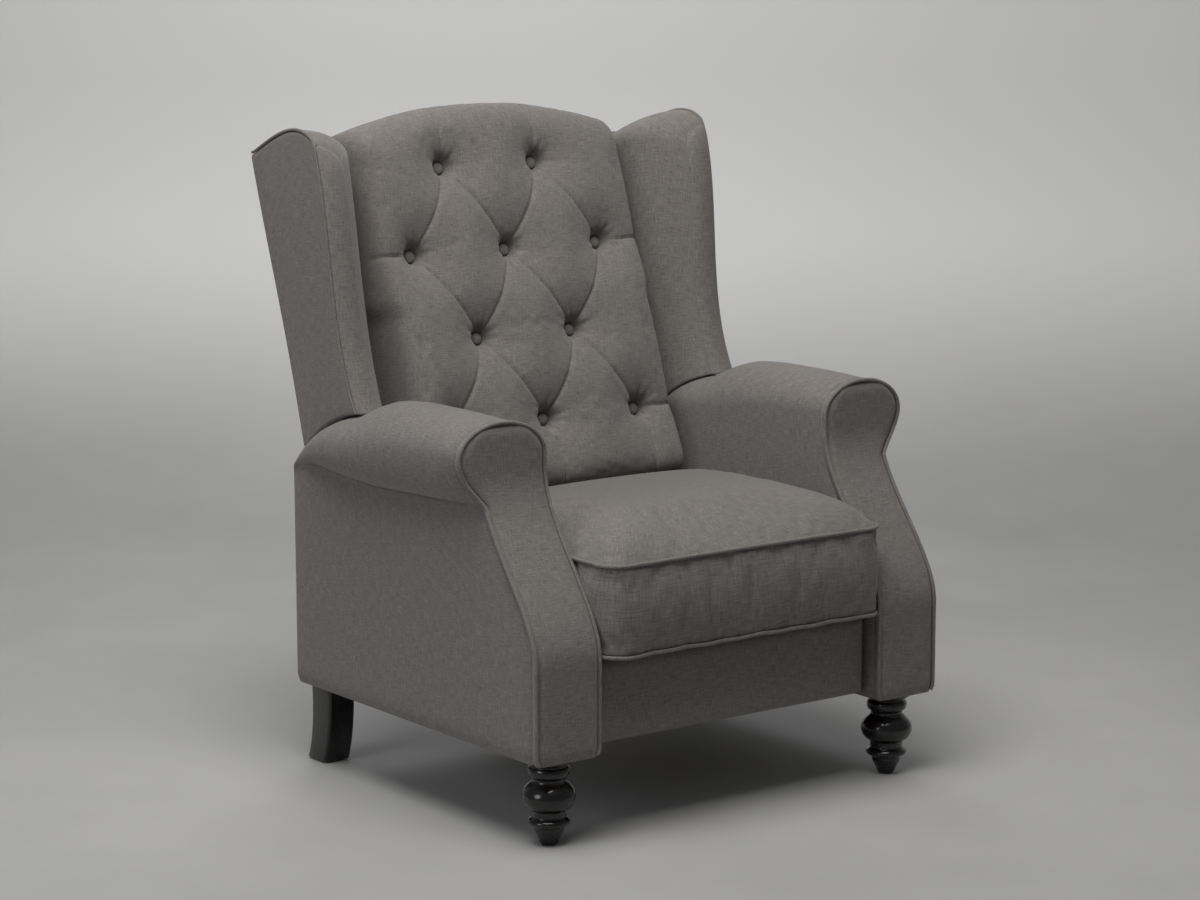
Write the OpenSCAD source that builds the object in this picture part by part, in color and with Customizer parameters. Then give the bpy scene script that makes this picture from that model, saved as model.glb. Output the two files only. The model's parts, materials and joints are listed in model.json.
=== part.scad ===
// Pushback recliner: a wing chair with a tufted back, rolled arms and turned front legs.
// Pushing the back down swings the seat forward and lifts the front panel as a footrest.
// The origin is on the floor under the middle of the chair, +Y to the rear and +Z up.

/* [Overall] */
// Width over the flat sides of the arms
body_w = 740; // [700:1:800]
// Width between the padded inner faces of the arms
seat_gap_w = 524; // [500:1:540]
// Depth of the arms from the facing to the rear edge
arm_depth = 643; // [620:1:680]
// How far the arm's front face lies in front of the origin
arm_front = 375; // [365:1:385]
// Height of the underside of the body, which is the height of the legs
leg_h = 128; // [110:1:150]

/* [Arms] */
// Height of the centre of the arm's roll
roll_z = 524; // [510:1:540]
// Radius of the arm's roll
roll_r = 72; // [64:1:78]
// How far the roll's centre lies inside the arm's flat side
roll_in = 34; // [28:1:40]
// How far the facing sweeps back between the seat and the roll
arm_setback = 130; // [100:1:150]
// Height where the facing starts to sweep back
sweep_z0 = 270; // [240:1:290]
// Height where the sweep ends, under the roll
sweep_z1 = 525; // [510:1:560]
// Thickness of the padded facing panel
facing_t = 14; // [10:0.5:20]
// Thickness of the plywood panel inside the arm
frame_t = 18; // [12:1:22]
// Depth of the pocket in the arm that takes the mechanism
pocket_d = 5; // [5:0.5:8]
// Height of the top of that pocket
pocket_top = 360; // [345:1:380]
// Width of the rail along the bottom of the arm frame
rail_w = 60; // [50:1:64]
// Height of the rail along the bottom of the arm frame
rail_h = 30; // [24:1:40]

/* [Back] */
// Height of the lower end of the sloping outside back
back_z = 488; // [480:1:500]
// How far that lower end lies in front of the arm's rear edge
back_setback = 20; // [14:1:26]
// Slope of the outside back from upright
back_tilt = 16; // [12:0.5:20]
// Length of the outside back along its slope, at its middle
back_len = 494; // [450:1:530]
// Drop of the arched top from its middle to the wings
back_arch = 42; // [30:1:60]
// Thickness of the padded outside back panel
panel_t = 12; // [8:0.5:16]
// Thickness of the back frame
stile_t = 28; // [22:1:34]
// Width of a stile of the back frame
stile_w = 28; // [24:1:36]
// Height of the hanging lower edge of the outside back
skirt_z = 325; // [318:1:345]
// Depth of the back cushion over its buttons, at the lowest row
tuft_depth = 89; // [75:1:100]
// How much less deep the cushion is for each millimetre up the back
cushion_taper = 0.103; // [0.05:0.005:0.14]
// How far the pillows stand proud of the buttons
pillow_h = 27; // [15:1:34]
// Distance between rows of buttons along the back
row_pitch = 137; // [120:1:145]
// Distance between the buttons of a row
button_pitch = 177; // [160:1:190]
// Radius of a button
button_r = 10.5; // [8:0.5:13]

/* [Wings] */
// Thickness of the wing at its front edge
wing_nose = 14; // [10:1:24]
// How far the top of the wing rises in its middle
wing_hump = 28; // [10:1:40]
// How far the wing leans in at its lower end
wing_lean = 13; // [0:1:20]
// How far the wing's lower front corner lies in front of the back's lower end
wing_foot_reach = 156; // [143:1:163]
// Height of the wing's upper front corner
wing_top_z = 955; // [920:1:975]
// How far the wing's upper front corner lies in front of the back's lower end
wing_top_reach = 58; // [38:1:78]

/* [Seat] */
// Gap between the seat cushion and the arm on each side
cushion_gap = 7; // [7:0.5:20]
// Distance of the cushion's front in front of the origin
cushion_front = 390; // [380:1:396]
// Distance of the cushion's rear behind the origin
cushion_rear = 165; // [140:1:172]
// Height of the upper piping of the cushion
cushion_top = 400; // [385:1:410]
// Height of the lower edge of the cushion at its front
cushion_low = 268; // [265:1:275]
// Depth of the front lip of the cushion that hangs below the deck
lip_depth = 42; // [41:0.5:44]
// Rise of the crown over the upper piping
crown_h = 55; // [35:1:60]
// Height of the steel seat deck under the cushion
deck_z = 297; // [296:1:303]

/* [Footrest] */
// Height of the lower edge of the footrest panel
footrest_low = 135; // [132:1:150]
// Height of the upper edge of the footrest panel
footrest_top = 262; // [250:1:263]
// Distance of the footrest panel's face in front of the origin
footrest_front = 350; // [346:1:358]
// Thickness of the footrest board
board_t = 12; // [9:1:12]
// Thickness of the padding on the footrest board
footrest_pad_t = 25; // [20:1:28]

/* [Mechanism] */
// Thickness of the steel plates and links
plate_t = 4; // [3:0.25:4]
// Free space between two layers of plates
layer_gap = 2; // [2:0.1:2.4]
// Distance of the back pivot behind the origin
pivot_y = 65; // [60:1:70]
// Height of the back pivot
pivot_z = 310; // [305:1:315]
// Length of the lever and of the hanger that carry the seat
lever_len = 100; // [90:1:106]
// Distance between the back pivot and the front hanger
hanger_gap = 85; // [75:1:100]
// Length of the hanger under the seat, where the push rod joins it
hanger_tail = 50; // [40:1:55]
// Distance of the upper link's pivot in front of the origin
link_front = 305; // [300:1:308]
// Height of the two link pivots on the seat plate
link_z = 280; // [276:1:280]
// Distance between the two link pivots on the seat plate
link_gap = 70; // [60:1:76]
// Length of the upper and lower links
link_len = 190; // [175:1:192]
// Slope of the links at rest, down and to the rear
link_slope = 45; // [42:1:48]
// Distance of the footrest pivot in front of the origin
foot_pivot_y = 285; // [280:1:287]
// Height of the footrest pivot
foot_pivot_z = 205; // [198:1:210]
// Distance between the footrest bracket's two pivots
foot_gap = 45; // [38:1:46]
// How far the long bar dips between the two links that carry it
bar_dip = 30; // [28:1:33]
// Angle from level of the line through the bracket's two pivots
foot_angle = 70; // [64:1:76]
// Distance of the push rod's front pivot from the lower link's pivot
crank_r = 18; // [15:1:22]
// Angle of the push rod's front pivot, measured from straight ahead and down
crank_angle = 112; // [105:1:120]
// Radius of the rounded ends of the links
link_r = 10; // [9:0.5:10.5]
// Radius of the rivets
rivet_r = 4; // [3:0.25:4.5]
// Play of a rivet in the hole it turns in
rivet_play = 0.05; // [0.02:0.01:0.09]
// Play of the push rod's front eye
eye_play = 3.6; // [3.4:0.1:4]
// Radius of the two cross tubes
tube_r = 8; // [6:0.5:9]

/* [Legs] */
// Distance of the front legs from the middle plane
leg_x = 318; // [310:1:325]
// Distance of the front legs in front of the origin
leg_y = 327; // [315:1:330]
// Radius of the front leg's bulb
bulb_r = 39; // [32:1:44]
// Width of a rear leg
rear_leg_w = 46; // [38:1:50]
// Depth of a rear leg at its top
rear_leg_d = 54; // [48:1:60]
// Distance of a rear leg's inner side from the middle plane
rear_leg_x = 299; // [290:1:305]
// How far the rear foot reaches behind the arm
rear_kick = 7; // [0:1:20]
// Thickness of the glides under the feet
glide_t = 3; // [2:0.5:5]

/* [Hidden] */

$fn = 64;
fabric = "#6b6763";
fabric_dark = "#5a5652";
wood = "#b8935f";
ebony = "#1d1715";
steel = "#3a3a3c";
zinc = "#9a9da0";

// Free space between soft pieces that move past each other, and beside the seat
slip = 0.4;
// Overlap that lets a cut pass a face cleanly
cut = 1;
half_gap = seat_gap_w / 2;
half_body = body_w / 2;
arm_rear = arm_depth - arm_front;
back_y = arm_rear - back_setback;
wing_front_y = back_y - wing_foot_reach;
wing_top_y = back_y - wing_top_reach;
cushion_w = seat_gap_w - 2 * cushion_gap;
mech_x = half_gap + pocket_d;
// Inner face of layer i of the mechanism, counted inwards from the arm frame
function layer_x(i) = mech_x - (i + 1) * plate_t - i * layer_gap;

// Mechanism pivots, as [y, z]
back_pivot = [pivot_y, pivot_z];
lever_end = back_pivot - [0, lever_len];
hanger_top = back_pivot - [hanger_gap, 0];
hanger_end = hanger_top - [0, lever_len];
rod_rear = hanger_end - [0, hanger_tail];
upper_pivot = [-link_front, link_z];
lower_pivot = upper_pivot + [link_gap, 0];
// Direction in the [y, z] plane, turned up from straight ahead
function ahead(angle, length) = [-length * cos(angle), length * sin(angle)];
link_reach = ahead(link_slope - 180, link_len);
upper_end = upper_pivot + link_reach;
lower_end = lower_pivot + link_reach;
foot_pivot = [-foot_pivot_y, foot_pivot_z];
foot_step = ahead(foot_angle, foot_gap);
foot_upper = foot_pivot + foot_step;
slim_end = upper_end + foot_step;
rod_front = lower_pivot + ahead(-crank_angle, crank_r);

// Radius of the arc on which the back and the wings pass over the arms
arc_gap = 1;
arm_arc = 255;
wing_arc = arm_arc + arc_gap;
// Round end of a plate at a pivot that carries the back
lever_r = 14;
head_r = 7;
head_t = 1.5;
head_gap = 0.3;

// Smooth step from 0 to 1
function clamp01(t) = min(1, max(0, t));
function smooth(t) = let (c = clamp01(t)) c * c * (3 - 2 * c);
function mix(a, b, t) = a + (b - a) * t;

// Left pieces are the mirror image of the right ones
module on_left() {
    mirror([1, 0, 0]) children();
}
module both_sides() {
    children();
    on_left() children();
}
// Drawing in the [y, z] plane made into a plate that starts at x0
module slab(x0, t) {
    translate([x0, 0, 0]) rotate([90, 0, 90]) linear_extrude(t) children();
}
// Straight strap with round eyes, drawn in a little between them
strap_waist = 0.7;
module strap(a, b, r = link_r) {
    d = b - a;
    translate(a) circle(r);
    translate(b) circle(r);
    translate(a) rotate(atan2(d[1], d[0])) translate([0, strap_waist - r])
        square([norm(d), 2 * (r - strap_waist)]);
}
module holes(points, r = rivet_r + rivet_play) {
    for (p = points) translate(p) circle(r);
}
// Rivet through the layers from outer to inner, with its loose head on one side
module rivet(p, outer, inner, loose_inner = true, big_head = false) {
    x_out = layer_x(outer) + plate_t;
    x_in = layer_x(inner);
    out_play = loose_inner ? 0 : head_gap;
    in_play = loose_inner ? head_gap : 0;
    wide = big_head ? rivet_r + eye_play + 3 : head_r;
    translate([0, p[0], p[1]]) rotate([0, 90, 0]) {
        translate([0, 0, x_in - in_play - head_t / 2])
            cylinder(r = rivet_r, h = x_out + out_play - x_in + in_play + head_t);
        translate([0, 0, x_out + out_play]) cylinder(r = head_r, h = head_t);
        translate([0, 0, x_in - in_play - head_t]) cylinder(r = wide, h = head_t);
    }
}

// Closed skin over rings of points, each ring with the same number of points
module skin(rings) {
    n = len(rings[0]);
    m = len(rings);
    low = [for (a = [0:2]) sum_of([for (p = rings[0]) p[a]]) / n];
    high = [for (a = [0:2]) sum_of([for (p = rings[m - 1]) p[a]]) / n];
    points = concat([for (ring = rings) each ring], [low, high]);
    walls = [
        for (j = [0:m - 2]) for (i = [0:n - 1]) let (
            a = j * n + i, b = j * n + (i + 1) % n, c = a + n, d = b + n
        ) each [[a, c, b], [b, c, d]]
    ];
    bottom = [for (i = [0:n - 1]) [i, (i + 1) % n, m * n]];
    top = [for (i = [0:n - 1]) [(m - 1) * n + (i + 1) % n, (m - 1) * n + i, m * n + 1]];
    polyhedron(points, concat(walls, bottom, top));
}
// Closed skin between two matching grids of points, joined around their edges
module shell(outside, inside) {
    m = len(outside);
    n = len(outside[0]);
    points = concat([for (row = outside) each row], [for (row = inside) each row]);
    far = m * n;
    faces = [
        for (j = [0:m - 2]) for (i = [0:n - 2]) let (a = j * n + i, b = a + 1, c = a + n, d = c + 1)
            each [
                [a, b, c], [b, d, c],
                [far + a, far + c, far + b], [far + b, far + c, far + d]
            ]
    ];
    ends = [
        for (i = [0:n - 2]) for (j = [0, m - 1]) let (a = j * n + i, b = a + 1)
            each j == 0 ? [[a, far + a, b], [b, far + a, far + b]]
                : [[a, b, far + a], [b, far + b, far + a]]
    ];
    sides = [
        for (j = [0:m - 2]) for (i = [0, n - 1]) let (a = j * n + i, c = a + n)
            each i == 0 ? [[a, c, far + a], [c, far + c, far + a]]
                : [[a, far + a, c], [c, far + a, far + c]]
    ];
    polyhedron(points, concat(faces, ends, sides));
}
function sum_of(v, i = 0) = i >= len(v) ? 0 : v[i] + sum_of(v, i + 1);

// Arms
// Front face of the arm at height z, as a distance from the origin
function front_y(z) =
    -arm_front + arm_setback * smooth(pow(clamp01((z - sweep_z0) / (sweep_z1 - sweep_z0)), 0.95));
sweep_steps = 18;
arm_top = roll_z + roll_r;
function sweep_z(i) = mix(sweep_z0, sweep_z1, i / sweep_steps);
function sweep_line(back) = concat(
    [[front_y(leg_h) + back, leg_h]],
    [for (i = [0:sweep_steps]) [front_y(sweep_z(i)) + back, sweep_z(i)]],
    [[front_y(arm_top) + back, arm_top + cut]]
);
function reversed(v) = [for (i = [len(v) - 1:-1:0]) v[i]];
// Outline of the arm seen from the front, straight inside and rolled over outside
module arm_outline() {
    translate([half_gap, leg_h]) square([half_body - half_gap, roll_z - leg_h]);
    intersection() {
        translate([half_body - roll_in, roll_z]) circle(roll_r, $fn = 96);
        translate([half_gap, leg_h]) square([body_w, arm_top]);
    }
}
// The arm's full length, drawn from its outline
module arm_block() {
    translate([0, arm_rear, 0]) rotate([90, 0, 0]) linear_extrude(arm_depth) arm_outline();
}
// Space over the rear of the arm that the wing sweeps
module wing_space() {
    difference() {
        translate([0, wing_front_y - arc_gap, pivot_z])
            cube([body_w, arm_depth, arm_depth]);
        translate([-cut, pivot_y, pivot_z]) rotate([0, 90, 0])
            cylinder(r = arm_arc, h = body_w + 2 * cut, $fn = 180);
    }
}
// Plywood panel of the arm, well inside the padding
frame_in = 3;
frame_top = roll_z - 44;
frame_ledge = 95;
frame_step = 80;
frame_back_in = 28;
module frame_panel() {
    slab(mech_x, frame_t) polygon([
        [front_y(leg_h) + facing_t + frame_in, leg_h],
        [front_y(leg_h) + facing_t + frame_in, sweep_z0 - 10],
        [front_y(frame_top) + facing_t + 20, frame_top],
        [0, frame_top + 20],
        [pivot_y + frame_ledge, frame_top],
        [arm_rear - frame_back_in, frame_top - frame_step],
        [arm_rear - frame_back_in, leg_h]
    ]);
}
module frame_rail() {
    translate([mech_x + frame_t, front_y(leg_h) + facing_t + frame_in, leg_h])
        cube([rail_w, arm_depth - facing_t - frame_in - frame_back_in, rail_h]);
}
// Pockets in the arm frame for the rivet heads of the base plate
head_pocket = head_r + 1.5;
bolt_r = 4;
bolt_play = 0.1;
bolt_up = 22;
bolt_down = 26;
module arm_frame() {
    difference() {
        union() {
            frame_panel();
            frame_rail();
        }
        slab(mech_x - cut, cut + head_t + 1) holes([back_pivot, hanger_top], head_pocket);
        leg_bolt_holes();
    }
}
module arm_pad() {
    color(fabric) difference() {
        intersection() {
            arm_block();
            slab(0, body_w) polygon(concat(
                sweep_line(facing_t), [[arm_rear, arm_top + cut], [arm_rear, leg_h]]
            ));
        }
        wing_space();
        translate([0, -arm_depth, 0]) cube([mech_x, 2 * arm_depth, pocket_top]);
        frame_panel();
        frame_rail();
    }
}
module arm_facing() {
    color(fabric) intersection() {
        arm_block();
        slab(0, body_w) polygon(concat(sweep_line(0), reversed(sweep_line(facing_t))));
    }
}

// Base
rear_step = 48;
rear_face = arm_rear - rear_step;
rear_rail_t = 18;
rear_rail_h = 172;
module rear_rail() {
    color(wood) translate([-mech_x, rear_face - panel_t - rear_rail_t, leg_h])
        cube([2 * mech_x, rear_rail_t, rear_rail_h]);
}
module rear_panel() {
    color(fabric_dark) translate([-mech_x + cut, rear_face - panel_t, leg_h])
        cube([2 * (mech_x - cut), panel_t, skirt_z - leg_h]);
}
plate_low = leg_h + 7;
plate_edge = 25;
plate_rise = 20;
module base_plate() {
    color(steel) slab(layer_x(0), plate_t) difference() {
        translate([hanger_top[0] - plate_edge, plate_low])
            square([hanger_gap + 2 * plate_edge, pivot_z + plate_rise - plate_low]);
        holes([back_pivot, hanger_top]);
    }
}
base_tube_at = [pivot_y - 25, plate_low + 14];
module base_cross_tube() {
    color(steel) translate([0, base_tube_at[0], base_tube_at[1]]) rotate([0, 90, 0])
        difference() {
            cylinder(r = tube_r, h = 2 * layer_x(0), center = true);
            cylinder(r = tube_r - 2, h = 2 * layer_x(0) + cut, center = true);
        }
}
module base_rivets() {
    color(zinc) both_sides() {
        rivet(back_pivot, 0, 1);
        rivet(hanger_top, 0, 1);
    }
}

// Legs
leg_top_r = 36;
foot_r = 14;
// Turned profile as [height, radius], listed at the rings and the necks between them
turnings = [
    [glide_t, foot_r], [0.18 * leg_h, 22], [0.27 * leg_h, bulb_r - 8], [0.39 * leg_h, 25],
    [0.56 * leg_h, bulb_r], [0.74 * leg_h, 24], [0.86 * leg_h, 30], [0.92 * leg_h, 27],
    [leg_h, leg_top_r]
];
turn_steps = 5;
module front_leg() {
    color(ebony) translate([leg_x, -leg_y, 0]) difference() {
        rotate_extrude($fn = 72) polygon(concat(
            [[0, glide_t]],
            [for (k = [0:len(turnings) - 2]) for (i = [0:turn_steps - 1]) let (
                t = i / turn_steps, a = turnings[k], b = turnings[k + 1]
            ) [mix(a[1], b[1], (1 - cos(180 * t)) / 2), mix(a[0], b[0], t)]],
            [[leg_top_r, leg_h], [0, leg_h]]
        ));
        translate([0, 0, leg_h - bolt_down]) cylinder(r = bolt_r + bolt_play, h = leg_h);
    }
}
rear_inset = 6;
rear_bolt = [rear_leg_x + rear_leg_w / 2, arm_rear - rear_inset - rear_leg_d * 0.7];
function bend(a, b, c, t) = (1 - t) * (1 - t) * a + 2 * t * (1 - t) * b + t * t * c;
bend_steps = 10;
rear_foot = [arm_rear + rear_kick, glide_t];
foot_len = rear_leg_d - 4;
rear_top = [arm_rear - rear_inset, leg_h];
module rear_leg() {
    color(ebony) difference() {
        slab(rear_leg_x, rear_leg_w) polygon(concat(
            [for (i = [0:bend_steps]) bend(rear_top - [rear_leg_d, 0],
                [rear_top[0] - rear_leg_d - 2, leg_h * 0.4],
                rear_foot - [foot_len, 0], i / bend_steps)],
            [for (i = [bend_steps:-1:0]) bend(rear_top, [rear_top[0] - 6, leg_h * 0.35],
                rear_foot, i / bend_steps)]
        ));
        translate([rear_bolt[0], rear_bolt[1], leg_h - bolt_down])
            cylinder(r = bolt_r + bolt_play, h = leg_h);
    }
}
module leg_bolt_holes() {
    translate([leg_x, -leg_y, 0]) cylinder(r = bolt_r + bolt_play, h = leg_h + bolt_up);
    translate([rear_bolt[0], rear_bolt[1], 0])
        cylinder(r = bolt_r + bolt_play, h = leg_h + bolt_up);
}
module leg_bolts() {
    color(zinc) both_sides() for (p = [[leg_x, -leg_y], rear_bolt])
        translate([p[0], p[1], leg_h - bolt_down])
            cylinder(r = bolt_r, h = bolt_down + bolt_up);
}
glide_r = 11;
module leg_glides() {
    color(steel) both_sides() {
        translate([leg_x, -leg_y, 0]) cylinder(r = glide_r, h = glide_t);
        translate([rear_leg_x + rear_leg_w / 2, rear_foot[0] - foot_len / 2, 0])
            cylinder(r = glide_r, h = glide_t);
    }
}

// Back: pieces drawn on the slope of the outside back, x across and z up the slope
module on_slope() {
    translate([0, back_y, back_z]) rotate([-back_tilt, 0, 0]) children();
}
function slope_point(x, y, s) = [
    x,
    back_y + y * cos(back_tilt) + s * sin(back_tilt),
    back_z - y * sin(back_tilt) + s * cos(back_tilt)
];
arch_r = (half_gap * half_gap + back_arch * back_arch) / (2 * back_arch);
wire_r = 1.8;
frame_back = -panel_t - slip;
frame_front = frame_back - stile_t;
cushion_back = frame_front - 2 * wire_r - slip;
stile_out = layer_x(1);
stile_low = -40;
rail_face = 45;
// Shape under the arched top, lowered by drop
module arch_shape(half_w, low, drop) {
    intersection() {
        translate([-half_w, low]) square([2 * half_w, back_len - low + cut]);
        translate([0, back_len - drop - arch_r]) circle(arch_r, $fn = 240);
    }
}
module slope_board(y0, t) {
    on_slope() translate([0, y0 + t, 0]) rotate([90, 0, 0]) linear_extrude(t) children();
}
top_rail_drop = 22;
module back_stile() {
    color(wood) slope_board(frame_front, stile_t) intersection() {
        translate([stile_out - stile_w, stile_low]) square([stile_w, back_len]);
        arch_shape(half_gap, stile_low, top_rail_drop);
    }
}
module back_top_rail() {
    color(wood) slope_board(frame_front, stile_t) difference() {
        arch_shape(stile_out - stile_w, stile_low, top_rail_drop);
        arch_shape(half_gap, stile_low - cut, top_rail_drop + rail_face);
    }
}
module back_bottom_rail() {
    color(wood) slope_board(frame_front, stile_t)
        translate([-(stile_out - stile_w), stile_low])
            square([2 * (stile_out - stile_w), rail_face]);
}
// Outside back: one padded board over the frame and the wings, with a hanging skirt
skirt_y = arm_rear - panel_t;
skirt_half = half_gap - 7;
// The skirt runs up into the board a little over the place where it comes level with the arms
skirt_top = back_z + (arm_rear - back_y) / tan(back_tilt) + 8;
panel_in = 5;
wing_rear_len = 463;
module back_panel() {
    color(fabric_dark) {
        difference() {
            slope_board(-panel_t, panel_t) {
                arch_shape(half_gap + slip, 0, 0);
                for (side = [1, -1]) polygon([
                    [side * (half_gap - cut), 0],
                    [side * (half_body - panel_in), 0],
                    [side * (half_body - panel_in), wing_rear_len],
                    [side * (half_gap - cut), back_len - back_arch - cut]
                ]);
            }
            both_sides() translate([half_gap - cut, pivot_y, pivot_z]) rotate([0, 90, 0])
                cylinder(r = wing_arc, h = body_w, $fn = 180);
        }
        slope_board(cushion_back + slip, panel_t / 2 - panel_t - cushion_back) difference() {
            arch_shape(half_gap - 2, stile_low, cut);
            arch_shape(half_gap, stile_low - cut, top_rail_drop - cut);
        }
        slab(-skirt_half, 2 * skirt_half) polygon([
            [skirt_y, skirt_z],
            [arm_rear, skirt_z],
            [arm_rear, skirt_top],
            [arm_rear - panel_t / 2, skirt_top],
            [slope_point(0, -panel_t / 2, 4)[1], slope_point(0, -panel_t / 2, 4)[2]],
            [skirt_y, back_z - 18]
        ]);
    }
}
bracket_up = 150;
// Where the bracket's neck is this wide, measured square to its upper edge, on from the pivot
neck_at = 48;
neck_w = 22;
module back_bracket() {
    rear_low = slope_point(0, frame_back - 4, stile_low + 6);
    front_low = slope_point(0, frame_front + 4, stile_low + 6);
    rear_up = slope_point(0, frame_back - 4, bracket_up);
    front_up = slope_point(0, frame_front + 4, bracket_up);
    top_from = back_pivot + [3 - lever_r, -4];
    top_to = [front_low[1] - 14, front_low[2] + 16];
    top_run = (top_to - top_from) / norm(top_to - top_from);
    color(steel) difference() {
        union() {
            slab(layer_x(1), plate_t) strap(back_pivot, lever_end, lever_r);
            slab(layer_x(1), plate_t) polygon([
                back_pivot + [lever_r - 3, -4],
                top_from + neck_at * top_run + neck_w * [top_run[1], -top_run[0]],
                [rear_low[1], rear_low[2]],
                [rear_up[1], rear_up[2]],
                [front_up[1], front_up[2]],
                top_to,
                top_from
            ]);
        }
        slab(layer_x(1) - cut, plate_t + 2 * cut) holes([back_pivot, lever_end]);
    }
}
module back_rivets() {
    color(zinc) both_sides() rivet(lever_end, 1, 2);
}
// Wavy spring wire that runs up from low to high, bent from side to side
module wavy_wire(length, width, bends) {
    step = length / bends;
    // The straights are a hair thinner and reach into the bends, so that they join cleanly
    reach = 0.8;
    for (i = [0:bends]) translate([-width / 2 - reach, 0, i * step]) rotate([0, 90, 0])
        cylinder(r = wire_r - 0.05, h = width + 2 * reach, $fn = 16);
    for (i = [0:bends - 1]) let (side = i % 2 == 0 ? 1 : -1)
        translate([side * width / 2, 0, (i + 0.5) * step]) rotate([90, 0, 0])
            rotate(side > 0 ? -90 : 90)
                rotate_extrude(angle = 180) translate([step / 2, 0]) circle(wire_r, $fn = 16);
}
spring_count = 4;
spring_w = 40;
spring_bends = 8;
module back_springs() {
    low = stile_low + rail_face;
    high = back_len - top_rail_drop - rail_face - back_arch;
    color(zinc) on_slope() for (k = [0:spring_count - 1])
        translate([(k - (spring_count - 1) / 2) * (stile_out / spring_count * 1.7),
            frame_front - wire_r, low - 12]) wavy_wire(high - low + 24, spring_w, spring_bends);
}

// Tufted cushion: depth over the frame at x across and s up the slope
row_low = -8;
function button_line(s) = tuft_depth - cushion_taper * (s - row_low);
rows = [
    for (r = [0:3]) let (n = r % 2 == 0 ? 3 : 2)
        for (k = [0:n - 1]) [(k - (n - 1) / 2) * button_pitch, row_low + r * row_pitch]
];
function near_button(x, s) = min([for (b = rows) norm([x - b[0], s - b[1]])]);
// Distance from a point to a straight seam
function to_seam(p, a, b) = let (
    d = b - a, t = clamp01(((p - a) * d) / (d * d))
) norm(p - a - d * t);
cushion_low_s = -114;
cushion_top_s = back_len + 13;
seams = concat(
    [for (i = [0:len(rows) - 1]) for (j = [i + 1:len(rows) - 1]) let (d = rows[j] - rows[i])
        if (abs(d[1] - row_pitch) < 1 && abs(d[0]) < button_pitch * 0.6) [rows[i], rows[j]]],
    [for (b = rows) if (b[1] > row_low + 2.5 * row_pitch) [b, [b[0], cushion_top_s]]],
    [for (b = rows) if (b[1] < row_low + 1) [b, [b[0], cushion_low_s]]],
    [for (b = rows) if (abs(b[0]) > 0.9 * button_pitch) [b, [sign(b[0]) * half_gap, b[1]]]]
);
function near_seam(p) = min([for (e = seams) to_seam(p, e[0], e[1])]);
dimple = 50;
dimple_floor = 1.7 * button_r;
groove = 40;
function tuft(x, s) = let (
    b = clamp01((near_button(x, s) - dimple_floor) / dimple),
    g = clamp01(near_seam([x, s]) / groove)
) pillow_h * sin(90 * b) * (0.55 + 0.45 * sin(90 * g));
// The sides and the top roll over to the frame
edge_roll = 34;
top_roll = 48;
function roll_over(d, r) = let (c = clamp01(d / r)) sqrt(max(0, 1 - (1 - c) * (1 - c)));
function cushion_half(s) =
    mix(half_gap - 7, half_gap - 1, smooth((s - bracket_up - 12) / 40));
function top_s(x) = cushion_top_s - (arch_r - sqrt(arch_r * arch_r - x * x));
// The grid has eight steps to a button pitch, so that each button and pleat falls on it
cushion_cols = 24;
rows_below = 6;
rows_above = 6;
cushion_rows = rows_below + 24 + rows_above;
rear_cols = 6;
function row_place(j, x) = let (
    top_row = row_low + 3 * row_pitch
) j <= rows_below ? mix(cushion_low_s, row_low, j / rows_below)
    : j <= rows_below + 24 ? row_low + (j - rows_below) * row_pitch / 8
    : mix(top_row, top_s(x), sin(90 * (j - rows_below - 24) / rows_above));
function column_place(i, half) = let (k = i - cushion_cols / 2)
    abs(k) == cushion_cols / 2 ? sign(k) * half : k * button_pitch / 8;
// One ring: across the front from side to side, then back along the frame
function cushion_ring(j) = let (
    half = cushion_half(row_place(j, 0)),
    front = [for (i = [0:cushion_cols]) let (
        x = column_place(i, half),
        s = row_place(j, x),
        d = (button_line(s) + tuft(x, s)) * (0.3 + 0.7 * roll_over(half - abs(x), edge_roll))
            * (0.14 + 0.86 * roll_over(top_s(x) - s, top_roll))
            * (0.86 + 0.14 * roll_over(s - cushion_low_s, edge_roll))
    ) slope_point(x, cushion_back - d, s + 4)],
    rear = [for (k = [rear_cols:-1:0]) let (
        x = column_place(k * cushion_cols / rear_cols, half),
        low = cushion_low_s + 54
    ) slope_point(x, cushion_back, max(low + j / 10, row_place(j, x)))]
) concat(front, rear);
// Ends of the cushion: each rear point is joined to the front points beside it
function cushion_end(first) = let (n = cushion_cols / rear_cols) [
    for (k = [0:rear_cols - 1]) let (
        a = first + k * n,
        r = first + cushion_cols + 1 + rear_cols - k
    ) each [[a, a + 1, r], [a + 1, a + 2, r], [a + 2, r - 1, r],
        [a + 2, a + 3, r - 1], [a + 3, a + 4, r - 1]]
];
module back_cushion() {
    n = cushion_cols + rear_cols + 2;
    walls = [
        for (j = [0:cushion_rows - 1]) for (i = [0:n - 1]) let (
            a = j * n + i, b = j * n + (i + 1) % n, c = a + n, d = b + n
        ) each (i + j) % 2 == 0 ? [[a, c, b], [b, c, d]] : [[a, c, d], [a, d, b]]
    ];
    color(fabric) polyhedron(
        [for (j = [0:cushion_rows]) each cushion_ring(j)],
        concat(walls, cushion_end(0), [for (f = cushion_end(cushion_rows * n)) reversed(f)])
    );
}
button_t = 7;
button_lift = 1.8;
module back_buttons() {
    color(fabric_dark) for (b = rows) on_slope()
        translate([b[0], cushion_back - button_line(b[1]) - button_lift, b[1] + 4]) rotate([90, 0, 0])
            intersection() {
                cylinder(r = button_r, h = button_t);
                translate([0, 0, button_t - button_r * 1.4]) sphere(r = button_r * 1.4, $fn = 48);
            }
}

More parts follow.
